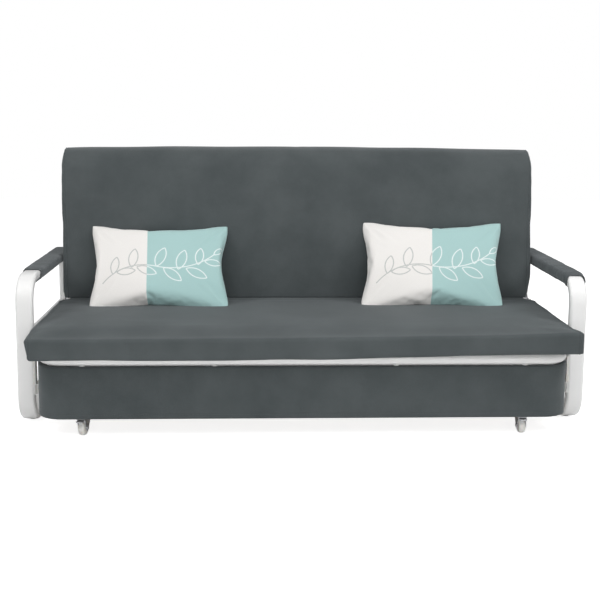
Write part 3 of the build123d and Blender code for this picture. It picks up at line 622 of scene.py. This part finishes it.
end_gain = seat_high.x - end_clear - max(vertex.co.x for vertex in seat_foam.data.vertices)
front_gain = min(vertex.co.y for vertex in seat_foam.data.vertices) - seat_low.y - front_clear
for vertex in seat_foam.data.vertices:
    spot = vertex.co
    hand = 1 if spot.x > 0 else -1
    spot.x += hand * end_gain * ramp(abs(spot.x), seat_high.x - gain_from, seat_high.x - gain_to)
    spot.y -= front_gain * ramp(spot.y, seat_low.y + gain_from, seat_low.y + gain_to)
    ends = corner_share(seat_high.x - abs(spot.x))
    front = corner_share(spot.y - seat_low.y)
    upper = corner_share(seat_level - spot.z)
    lower = corner_share(spot.z - seat_low.z)
    flat = max(upper, lower)
    spot.x += hand * edge_push * ends * max(front, flat * (spot.y < square_rear))
    spot.y -= edge_push * front * max(ends, flat)
    rise = edge_push * (1 - corner_blunt * ends * front * flat)
    spot.z += rise * (upper - lower) * max(front, ends * (spot.y < square_rear))
    spot.x = max(seat_low.x, min(seat_high.x, spot.x))
    spot.y = max(seat_low.y + end_clear, spot.y)
    spot.z = max(seat_low.z, min(seat_high.z + top_clear, spot.z))
    aside, tall = spot.x / seat_high.x, (spot.z - seat_low.z) / (seat_level - seat_low.z)
    sink_low = droop(droop_low, aside) + lift_low * ramp(aside, 0.05, 0.5)
    sink_high = droop(droop_high, aside) + lift_high * ramp(aside, 0.7, 1)
    sink_low *= ramp(spot.y, -0.405, -0.46)
    sink_high *= ramp(spot.y, -0.35, -0.46)
    spot.z += sink_low * (1 - tall) + sink_high * tall
    spot.x += left_tuck * (1 - tall) * ramp(-aside, 0.9, 1) * ramp(spot.y, -0.36, -0.46)
    spot.x -= hand * rear_tuck * ramp(abs(aside), 0.92, 1) * ramp(spot.y, -0.1, 0.1)
    inner = ramp(abs(spot.x), plates_to, plates_from)
    if spot.y > hinge.y:
        away = Vector((0, spot.y - hinge.y, spot.z - hinge.z))
        if away.length > 0.03:
            spot += away * (nose_radius / away.length - 1) * inner
    elif spot.z > hinge.z:
        spot.z += (seat_level - spot.z) * ramp(spot.y, 0.05, 0.1) * inner
finish_with(seat_foam, "SUBSURF", levels=1, render_levels=1)
smooth(seat_foam)
seams, stitches = [], []
for hand in (-1, 1):
    spot = (hand * (seat_high.x - seam_inset), 0, 0)
    seams.append(rolled_seam(seat_foam, "seat_seam", spot, (1, 0, 0), seam_radius))
    spot = (hand * (seat_high.x - stitch_inset), 0, 0)
    stitches.append(topstitch(seat_foam, "seat_stitch", spot, (1, 0, 0)))
seat_seams = joined("seat_end_seams", *seams)
smooth(seat_seams)
seat_stitches = joined("seat_end_stitches", *stitches)
wear(seat_foam, slate_cloth, "pullout")
wear(seat_seams, slate_cloth, "pullout")
wear(seat_stitches, slate_thread, "pullout")
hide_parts("seat_cushion")

# Backrest pad
# Foam in slate cloth, rolled over the top tube of the back frame and down behind it.
# The end panels follow the hook, and are joined by the same rolled, topstitched seam.
lean = radians(10)
upright = Matrix.Translation(hinge) @ Matrix.Rotation(lean, 4, "X") @ Matrix.Translation(-hinge)
back_foam = merged_copy("back_pad", "back_cover")
back_foam.data.transform(upright)
back_grain = 0.0115
finish_with(back_foam, "REMESH", mode="VOXEL", voxel_size=back_grain, use_smooth_shade=True)
finish_with(back_foam, "DISPLACE", strength=-foam_inset, mid_level=0)
swell(back_foam, pressure=4, cap=swell_cap)
ease(back_foam, size=0.2, depth=0.0018, seed=11)
foot_half, head_half, roll_high, end_run, foot_run = 0.884, 0.908, 0.5305, 0.07, 0.06
band, pad_front, right_tuck, crown = 0.02, hinge.y - 0.04, 0.012, 0.007
reach = {}
for vertex in back_foam.data.vertices:
    row = round((vertex.co.z - hinge.z) / band)
    reach[row] = max(reach.get(row, 0), abs(vertex.co.x))
for vertex in back_foam.data.vertices:
    high = vertex.co.z - hinge.z
    wanted = min(foot_half + (head_half - foot_half) * high / roll_high, head_half)
    below = int(high // band)
    share = high / band - below
    found = reach.get(below, wanted) * (1 - share) + reach.get(below + 1, wanted) * share
    near = max(0, (abs(vertex.co.x) - found + end_run) / end_run)
    hand = 1 if vertex.co.x > 0 else -1
    if hand > 0:
        wanted -= right_tuck * ramp(high, 0.13, 0.04)
    vertex.co.x += (wanted - found) * near * hand
    vertex.co.z += crown * (1 - (vertex.co.x / head_half) ** 2) * ramp(high, 0.45, 0.6)
    ends = corner_share(wanted - abs(vertex.co.x))
    front = corner_share(vertex.co.y - pad_front) * (high < roll_high)
    vertex.co.x += hand * edge_push * ends * front
    vertex.co.y -= edge_push * ends * front
back_foam.data.transform(upright.inverted())
foot_level, foot_round = 0.3591, 0.0138
for vertex in back_foam.data.vertices:
    above = vertex.co.z - foot_level
    if above < foot_run:
        vertex.co.z = foot_level + max(0, above - foot_round) * foot_run / (foot_run - foot_round)
back_foam.data.transform(upright)
finish_with(back_foam, "SUBSURF", levels=1, render_levels=1)
smooth(back_foam)
seams, stitches = [], []
for hand in (-1, 1):
    facing = Vector((hand, 0, -(head_half - foot_half) / roll_high)).normalized()
    spot = Vector((foot_half * hand, 0, hinge.z))
    seams.append(rolled_seam(back_foam, "back_seam", spot - facing * seam_inset, facing, seam_radius))
    stitches.append(topstitch(back_foam, "back_stitch", spot - facing * stitch_inset, facing))
back_seams = joined("back_end_seams", *seams)
smooth(back_seams)
back_stitches = joined("back_end_stitches", *stitches)
for piece, stuff in ((back_foam, slate_cloth), (back_seams, slate_cloth), (back_stitches, slate_thread)):
    piece.data.transform(upright.inverted())
    wear(piece, stuff, "backrest")
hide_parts("back_pad")

# Arm sleeves
# Padded tubes of slate cloth pulled over the armrests and slid forward by hand, so the
# left one stops shorter. Hemmed at both ends, closed by a seam along the lower inner edge.
arm_x, run_y, run_z, bend = 0.936, (-0.2, 0.378), 0.422, 0.077
core_across, core_over, tube_round = 0.019, 0.005, 0.01
cloth_off, least_off, cloth_wall, section_grow = 0.0064, 0.0031, 0.0026, 0.007
left_front, left_slant, right_reach, rear_reach = 0.045, 0.062, radians(28), radians(20)
side_reach, top_short, hem_rows, seam_rows = 0.01, 0.008, (0.021, 0.979), (0.016, 0.984)
hem_height, hem_pinch, hem_lip, hem_groove = 0.0135, 0.0028, 0.0006, 0.0008
sleeve_girth, seam_dip, left_slack, right_slack, gape = 0.203, 0.0016, 0.0034, -0.0022, 0.003
wrinkle, wrinkle_run, crease, crease_run = 0.0011, 0.045, 0.0005, 0.012


def round_section(share, off):
    """A place (across, over) on the tube's section grown by off; share 0 is its lower inner corner."""
    arc = pi / 2 * (tube_round + section_grow)
    corners = ((-1, -1), (1, -1), (1, 1), (-1, 1))
    pieces = [("arc", 0, 225, 270), ("line", 0, 270), ("arc", 1, 270, 360), ("line", 1, 0)]
    pieces += [("arc", 2, 0, 90), ("line", 2, 90), ("arc", 3, 90, 180), ("line", 3, 180)]
    pieces.append(("arc", 0, 180, 225))
    sizes = []
    for piece in pieces:
        if piece[0] == "arc":
            sizes.append(arc * (piece[3] - piece[2]) / 90)
        else:
            sizes.append(2 * (core_across if piece[1] in (0, 2) else core_over))
    left = share * sum(sizes)
    for piece, size in zip(pieces, sizes):
        if left <= size or piece is pieces[-1]:
            break
        left -= size
    part = min(1, left / size)
    here = corners[piece[1]]
    across, over = core_across * here[0], core_over * here[1]
    if piece[0] == "arc":
        angle = radians(piece[2] + (piece[3] - piece[2]) * part)
    else:
        after = corners[(piece[1] + 1) % 4]
        across += (after[0] - here[0]) * core_across * part
        over += (after[1] - here[1]) * core_over * part
        angle = radians(piece[2])
    reach = tube_round + off
    return across + reach * cos(angle), over + reach * sin(angle), angle


def on_arm(hand, run, across, over):
    """A place at a length along the armrest from its front bend, beside and above its middle."""
    if run < 0:
        turn = -run / bend
        y, z = run_y[0] - sin(turn) * (bend + over), run_z + cos(turn) * (bend + over)
    elif run > run_y[1] - run_y[0]:
        turn = (run - run_y[1] + run_y[0]) / bend
        y, z = run_y[1] + sin(turn) * (bend + over), run_z + cos(turn) * (bend + over)
    else:
        y, z = run_y[0] + run, run_z + bend + over
    return Vector((hand * (arm_x + across), y, z))


def sleeve_spot(hand, share, along, lift=0.0):
    """A place on a sleeve's outside, from shares round it and along it."""
    angle = round_section(share, 0)[2]
    rear = run_y[1] - run_y[0] + bend * rear_reach
    front = left_front - left_slant * ramp(-sin(angle), -0.2, 0.8)
    if hand > 0:
        front = -bend * right_reach - side_reach * abs(cos(angle)) + top_short * max(0, sin(angle))
    run = front + (rear - front) * along
    from_end = min(run - front, rear - run)
    off = cloth_off - hem_pinch * ramp(from_end, 0.03, 0) + hem_lip * ramp(from_end, 0.017, 0.014)
    off -= hem_groove * ramp(abs(from_end - hem_height), 0.003, 0)
    seed = 5 * hand
    round_about = Vector((run / wrinkle_run, cos(angle) * 1.2 + seed, sin(angle) * 1.2))
    off += wrinkle * noise.noise(round_about)
    round_about = Vector((run / crease_run, cos(angle) * 2 + seed, sin(angle) * 2))
    off += crease * noise.noise(round_about)
    from_seam = min(share, 1 - share) * sleeve_girth
    off -= seam_dip * ramp(from_seam, 0.006, 0)
    if sin(angle) < 0:
        off += (left_slack if hand < 0 else right_slack) * sin(angle)
    if hand > 0:
        off += gape * ramp(run - front, 0.014, 0) * ramp(abs(angle - radians(55)), 0.6, 0)
    off = max(off, least_off)
    across, over, angle = round_section(share, off + lift)
    return on_arm(hand, run, across, over)


# Gaps in the right sleeve's seam: the middle and half length as shares, and the half width.
seam_gaps = ((0.2, 0.05, 0.003), (0.31, 0.035, 0.0022), (0.5, 0.03, 0.0024))
sleeve_columns, sleeve_rows, thread_lift, sleeve_pitch = 210, 66, 0.0002, 0.006
for hand, name in ((-1, "left"), (1, "right")):
    bpy.ops.object.select_all(action="DESELECT")
    bpy.ops.mesh.primitive_grid_add(x_subdivisions=sleeve_columns, y_subdivisions=sleeve_rows, size=1)
    sleeve = bpy.context.object
    sleeve.name = f"sleeve_cover_{name}"
    for vertex in sleeve.data.vertices:
        along, share = vertex.co.x + 0.5, vertex.co.y + 0.5
        parted = 0
        if hand > 0:
            for middle, half, wide in seam_gaps:
                parted = max(parted, wide / sleeve_girth * (1 - ((along - middle) / half) ** 2))
        vertex.co = sleeve_spot(hand, parted + (1 - 2 * parted) * share, along)
    only(sleeve)
    bpy.ops.object.mode_set(mode="EDIT")
    bpy.ops.mesh.select_all(action="SELECT")
    bpy.ops.mesh.remove_doubles(threshold=0.00005)
    bpy.ops.mesh.normals_make_consistent(inside=False)
    bpy.ops.object.mode_set(mode="OBJECT")
    finish_with(sleeve, "SOLIDIFY", thickness=cloth_wall, offset=-1)
    smooth(sleeve)
    rows = []
    for along in hem_rows:
        rows.append([sleeve_spot(hand, number / 160, along, thread_lift) for number in range(161)])
    for share in seam_rows:
        rows.append([sleeve_spot(hand, share, number / 300, thread_lift) for number in range(6, 295)])
    threads = [stitch_run("sleeve_stitch", row, sleeve_pitch) for row in rows]
    sleeve_stitches = joined(f"sleeve_stitches_{name}", *threads)
    wear(sleeve, sleeve_cloth, "base")
    wear(sleeve_stitches, slate_thread, "base")
    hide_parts(f"arm_sleeve_{name}")

# Skirt cover
# One strip of slate cloth stretched round the board and folded over its bottom edge. Its top
# is tucked in under the seat tube, its hem is stitched, and its lower corners are rounded.
skirt_half, skirt_front, skirt_rear, skirt_bend, corner_cut = 0.883, -0.417, -0.27, 0.088, 0.08
skirt_low, skirt_high, skirt_hem, skirt_wall = 0.065, 0.2386, 0.014, 0.0008
skirt_off, billow_depth, billow_run, billow_rise, hem_dip = 0.0002, 0.0011, 0.22, 0.3, 0.0007
side_run, arc_run = skirt_rear - skirt_front - skirt_bend, pi / 2 * skirt_bend
front_run = 2 * (skirt_half - skirt_bend)
skirt_length = front_run + 2 * (side_run + arc_run)


def skirt_plan(run, inset):
    """A place in plan at a length along the skirt from its left end, drawn in by an inset."""
    hand = -1
    if run > skirt_length / 2:
        hand, run = 1, skirt_length - run
    if run < side_run:
        return Vector((hand * (skirt_half - inset), skirt_rear - run, 0))
    if run < side_run + arc_run:
        turn, reach = (run - side_run) / skirt_bend, skirt_bend - inset
        across = skirt_half - skirt_bend + reach * cos(turn)
        return Vector((hand * across, skirt_front + skirt_bend - reach * sin(turn), 0))
    across = skirt_half - skirt_bend - (run - side_run - arc_run)
    return Vector((hand * across, skirt_front + inset, 0))


def skirt_foot(y):
    """How low the skirt hangs at a depth: its wrapped ends have rounded corners."""
    past = y - (skirt_rear - corner_cut)
    if past <= 0:
        return skirt_low
    return skirt_low + corner_cut - sqrt(max(0, corner_cut**2 - past**2))


# The folds below and above: how far in each row lies, and how far past the edge.
skirt_folds = ((0.0062, 0.0004), (0.003, 0.0006), (0.0008, 0.0002))
skirt_lip = ((0.0145, 0.0015), (0.0065, 0.0009), (0.0009, 0.0003))


def skirt_spot(run, row, rows, lift=0.0):
    """A place on the skirt's outside; the first and last three rows are folded over the board."""
    plain = skirt_plan(run, 0)
    foot = skirt_foot(plain.y)
    if row < 3:
        fold, drop = skirt_folds[row]
        place = skirt_plan(run, fold)
        return place + Vector((0, 0, foot - drop))
    if row > rows - 3:
        fold, rise = skirt_lip[rows - row]
        place = skirt_plan(run, fold)
        return place + Vector((0, 0, skirt_high + rise))
    share = (row - 3) / (rows - 6)
    z = foot + (skirt_high - foot) * share
    billow = noise.noise(Vector((plain.x / billow_run, plain.y / billow_run, z / billow_rise + 7)))
    out = skirt_off + billow_depth * billow * sin(pi * share)
    out -= hem_dip * ramp(abs(z - foot - skirt_hem), 0.004, 0)
    place = skirt_plan(run, -out - lift)
    return place + Vector((0, 0, z))


skirt_columns, skirt_rows, hem_lift = 330, 34, 0.0004
bpy.ops.object.select_all(action="DESELECT")
bpy.ops.mesh.primitive_grid_add(x_subdivisions=skirt_columns, y_subdivisions=skirt_rows, size=1)
skirt = bpy.context.object
skirt.name = "skirt_cloth"
for vertex in skirt.data.vertices:
    row = round((vertex.co.y + 0.5) * skirt_rows)
    vertex.co = skirt_spot((vertex.co.x + 0.5) * skirt_length, row, skirt_rows)
bpy.ops.object.mode_set(mode="EDIT")
bpy.ops.mesh.select_all(action="SELECT")
bpy.ops.mesh.normals_make_consistent(inside=False)
bpy.ops.object.mode_set(mode="OBJECT")
outwards = sum(face.normal.y for face in skirt.data.polygons if abs(face.center.x) < 0.5)
if outwards > 0:
    bpy.ops.object.mode_set(mode="EDIT")
    bpy.ops.mesh.flip_normals()
    bpy.ops.object.mode_set(mode="OBJECT")
finish_with(skirt, "SOLIDIFY", thickness=skirt_wall, offset=-1)
smooth(skirt)
hem = []
for number in range(1, 400):
    run = skirt_length * number / 400
    foot = skirt_foot(skirt_plan(run, 0).y)
    row = 3 + (skirt_rows - 6) * skirt_hem / (skirt_high - foot)
    hem.append(skirt_spot(run, row, skirt_rows, hem_lift))
skirt_stitches = stitch_run("skirt_hem_stitches", hem)
wear(skirt, slate_cloth, "pullout")
wear(skirt_stitches, slate_thread, "pullout")
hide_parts("skirt_cover")

# Throw pillows
# Brushed cloth, pale on one side of a seam and teal on the other, printed with a leafy
# sprig, sewn to a like back and stuffed. The corners stand out as ears, the edges pucker.


def arc_line(tree, flat, centre, radius, middle, reach, width):
    """1 on a drawn arc and 0 beside it; middle and reach are in degrees."""
    away = tree.nodes.new("ShaderNodeVectorMath")
    away.operation = "SUBTRACT"
    tree.links.new(flat, away.inputs[0])
    away.inputs[1].default_value = (*centre, 0)
    length = tree.nodes.new("ShaderNodeVectorMath")
    length.operation = "LENGTH"
    tree.links.new(away.outputs[0], length.inputs[0])
    off = maths(tree, "ABSOLUTE", maths(tree, "SUBTRACT", length.outputs["Value"], radius))
    ink = spread(tree, off, 1, 0, width * 0.35, width * 0.65)
    course = tree.nodes.new("ShaderNodeVectorMath")
    course.operation = "NORMALIZE"
    tree.links.new(away.outputs[0], course.inputs[0])
    facing = tree.nodes.new("ShaderNodeVectorMath")
    facing.operation = "DOT_PRODUCT"
    tree.links.new(course.outputs[0], facing.inputs[0])
    facing.inputs[1].default_value = (cos(radians(middle)), sin(radians(middle)), 0)
    inside = maths(tree, "GREATER_THAN", facing.outputs["Value"], cos(radians(reach)))
    return maths(tree, "MULTIPLY", ink, inside)


def bow(start, end, belly):
    """An arc from one point to another that swells to its left by a belly."""
    start, end = Vector(start), Vector(end)
    half = (end - start).length / 2
    radius = (half * half + belly * belly) / (2 * abs(belly))
    along = (end - start).normalized()
    across = Vector((-along.y, along.x)) * (1 if belly > 0 else -1)
    centre = (start + end) / 2 - across * (radius - abs(belly))
    return tuple(centre), radius, degrees(atan2(across.y, across.x)), degrees(asin(half / radius))


def leaf(root, aim, length):
    """The two arcs of a leaf's outline, from its root along an aim in degrees."""
    tip = (root[0] + length * cos(radians(aim)), root[1] + length * sin(radians(aim)))
    return [bow(root, tip, length * 0.2), bow(root, tip, -length * 0.2)]


pillow_flat, pillow_wall, print_width = (0.53, 0.385), 0.012, 0.0042
side_draw, top_draw, foot_draw, ear_draw = 0.02, 0.05, 0.01, (0.015, 0.02)
top_widen, seam_pinch, ear_from, ear_whole, plain_swell = 0.01, 0.0016, (0.86, 0.8), 0.028, 0.06
sprig = [bow((0.055, 0.1), (0.255, 0.165), 0.03), bow((0.255, 0.165), (0.475, 0.225), -0.03)]
for root, aim, length in (
    ((0.095, 0.135), 80, 0.075),
    ((0.110, 0.141), 5, 0.07),
    ((0.165, 0.160), 82, 0.085),
    ((0.185, 0.162), -22, 0.08),
    ((0.258, 0.164), 70, 0.09),
    ((0.285, 0.157), -38, 0.085),
    ((0.340, 0.152), 74, 0.09),
    ((0.370, 0.157), -24, 0.085),
    ((0.415, 0.176), 82, 0.075),
    ((0.440, 0.192), -6, 0.065),
    ((0.475, 0.225), 42, 0.05),
):
    sprig += leaf(root, aim, length)


def pillow_cloth(name, split):
    """Pale and teal brushed cloth, meeting at a share of the width, with the sprig."""
    stuff, tree = new_finish(name, (0.8, 0.78, 0.76), 0.9)
    flat = tree.nodes.new("ShaderNodeTexCoord").outputs["UV"]
    metres = add_node(tree, "Mapping", {"Scale": (*pillow_flat, 1)}, {"Vector": flat})
    place = object_place(tree)
    parts = tree.nodes.new("ShaderNodeSeparateXYZ")
    tree.links.new(metres, parts.inputs[0])
    teal = maths(tree, "GREATER_THAN", parts.outputs["X"], pillow_flat[0] * split)
    ground = add_node(
        tree,
        "MixRGB",
        {"Color1": (0.83, 0.81, 0.785, 1), "Color2": (0.385, 0.58, 0.57, 1)},
        {"Fac": teal},
    )
    ink = add_node(
        tree,
        "MixRGB",
        {"Color1": (0.44, 0.46, 0.45, 1), "Color2": (0.86, 0.9, 0.89, 1)},
        {"Fac": teal},
    )
    drawn = None
    for centre, radius, middle, reach in sprig:
        arc = arc_line(tree, metres, centre, radius, middle, reach, print_width)
        drawn = arc if drawn is None else maths(tree, "MAXIMUM", drawn, arc)
    worn = spread(tree, speckle(tree, metres, 300, 3), 0.55, 1.0)
    drawn = maths(tree, "MULTIPLY", drawn, worn)
    printed = add_node(tree, "MixRGB", {}, {"Fac": drawn, "Color1": ground, "Color2": ink})
    feed_shader(
        tree,
        Base_Color=shaded(tree, printed, spread(tree, speckle(tree, place, 900, 3), 0.93, 1.03)),
        Normal=bumps(tree, speckle(tree, place, 1400, 3), 0.3, 0.0005),
    )
    set_shader(tree, Sheen_Weight=0.35, Sheen_Roughness=0.5, Specular_IOR_Level=0.2)
    return stuff


def stuffed_pillow(name, split):
    """Two flat sheets sewn round their edges and blown up."""
    bpy.ops.object.select_all(action="DESELECT")
    columns, rows = 78, 58
    bpy.ops.mesh.primitive_grid_add(
        x_subdivisions=columns, y_subdivisions=rows, size=1, rotation=(radians(90), 0, 0)
    )
    piece = bpy.context.object
    piece.name = name
    bpy.ops.object.transform_apply(location=True, rotation=True, scale=True)
    bpy.ops.object.mode_set(mode="EDIT")
    bpy.ops.mesh.select_all(action="SELECT")
    bpy.ops.transform.resize(value=(pillow_flat[0], 1, pillow_flat[1]))
    bpy.ops.mesh.extrude_region_move(TRANSFORM_OT_translate={"value": (0, pillow_wall, 0)})
    bpy.ops.mesh.select_all(action="SELECT")
    bpy.ops.mesh.normals_make_consistent(inside=False)
    bpy.ops.object.mode_set(mode="OBJECT")
    for vertex in piece.data.vertices:
        across, over = vertex.co.x * 2 / pillow_flat[0], vertex.co.z * 2 / pillow_flat[1]
        corner = max(0, abs(across) - ear_from[0]) * max(0, abs(over) - ear_from[1]) / ear_whole
        narrow = 1 - side_draw * (1 - over * over)
        vertex.co.x *= (1 - ear_draw[0] * corner) * narrow * (1 + top_widen * over)
        draw = top_draw if over > 0 else foot_draw
        vertex.co.z *= (1 - ear_draw[1] * corner) * (1 - draw * (1 - across * across))
        vertex.co.y -= pillow_wall / 2
    seam_x = (split - 0.5) * pillow_flat[0]
    pitch = pillow_flat[0] / columns
    seam = [vertex.index for vertex in piece.data.vertices if abs(vertex.co.x - seam_x) < pitch / 2]
    swell(piece, pressure=2.0, cap=0.2, frames=26)
    normals = [vertex.normal.copy() for vertex in piece.data.vertices]
    for index in seam:
        piece.data.vertices[index].co -= normals[index] * seam_pinch
    finish_with(piece, "SUBSURF", levels=1, render_levels=1)
    smooth(piece)
    return piece


settled, seat_clear, pad_depth, foot_slide = Vector((0, -0.006, -0.014)), 0.0015, 0.0455, 0.6


def set_down(piece, node, own_lean, turn, size, slump):
    """Fits a pillow to its size, slumps it to a side, leans it back and flattens where it rests."""
    low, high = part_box(node)
    spots = [vertex.co for vertex in piece.data.vertices]
    wide = max(spot.x for spot in spots) - min(spot.x for spot in spots)
    tall = max(spot.z for spot in spots) - min(spot.z for spot in spots)
    grow = Matrix.Diagonal((size[0] / wide, 1, size[1] / tall, 1))
    grow[0][2] = slump * size[1] / tall
    tilt = Matrix.Rotation(-own_lean, 4, "X")
    swing = Matrix.Rotation(turn, 4, "Z")
    middle = (low + high) / 2 + settled
    piece.data.transform(Matrix.Translation(middle) @ swing @ tilt @ grow)
    seat_z = seat_high.z + seat_clear
    face = Vector((0, cos(lean), -sin(lean)))
    for vertex in piece.data.vertices:
        depth = (vertex.co - hinge).dot(face) + pad_depth
        if depth > 0:
            vertex.co -= face * depth
        if vertex.co.z < seat_z:
            vertex.co.y -= (seat_z - vertex.co.z) * foot_slide
            vertex.co.z = seat_z


for name, split, own_lean, turn, size, slump in (
    ("left", 0.42, 39.5, 0, (0.508, 0.36), -0.04),
    ("right", 0.49, 36, -2, (0.528, 0.366), 0.058),
):
    pillow = stuffed_pillow(f"throw_pillow_{name}", split)
    set_down(pillow, f"pillow_{name}", radians(own_lean), radians(turn), size, slump)
    wear(pillow, pillow_cloth(f"pillow_cloth_{name}", split), f"cushion_{name}")
    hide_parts(f"pillow_{name}")

# Broken edges
# Channels, plates, slats, bolts and small mouldings have their sharp edges broken, so that
# they catch the light. Each is a copy of its solid with those edges rounded.
broken_edges = (
    (powder_coat, "white_powder_coat", 0.0005, ("runner_channel_left", "runner_channel_right")),
    (powder_coat, "white_powder_coat", 0.0006, ("cross_bar_hangers",)),
    (nylon, "white_nylon", 0.0008, ("runner_stops", "guide_pads")),
    (birch_seat, "birch_wood", 0.0022, ("seat_slats",)),
    (birch_back, "birch_wood", 0.0022, ("back_slats",)),
    (black_plastic, "black_plastic", 0.0008, ("seat_slat_holders", "back_slat_holders")),
    (black_plastic, "black_plastic", 0.0008, ("rail_end_caps",)),
    (black_plastic, "black_plastic", 0.0012, ("floor_glides",)),
    (zinc, "zinc_plated_steel", 0.0005, ("side_plate_left", "side_plate_right")),
    (zinc, "zinc_plated_steel", 0.0005, ("back_plate_left", "back_plate_right")),
    (zinc, "zinc_plated_steel", 0.0006, ("caster_plate_left", "caster_plate_right")),
    (zinc, "zinc_plated_steel", 0.0004, ("caster_fork_left", "caster_fork_right")),
    (zinc, "zinc_plated_steel", 0.0008, ("caster_axle_left", "caster_axle_right")),
    (zinc, "zinc_plated_steel", 0.001, ("caster_brake_left", "caster_brake_right")),
    (zinc, "zinc_plated_steel", 0.001, ("frame_bolts", "hinge_pins", "roller_pins")),
)
sharp = radians(35)
groups = frame["record"]["behaviour"]["bodies"]
riders = {node: body for body, nodes in groups.items() for node in nodes}
for stuff, slot, size, nodes in broken_edges:
    for node in nodes:
        piece = merged_copy(node, node + "_eased")
        finish_with(piece, "BEVEL", width=size, segments=2, limit_method="ANGLE", angle_limit=sharp)
        wear(piece, stuff, riders[node])
        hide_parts(node)
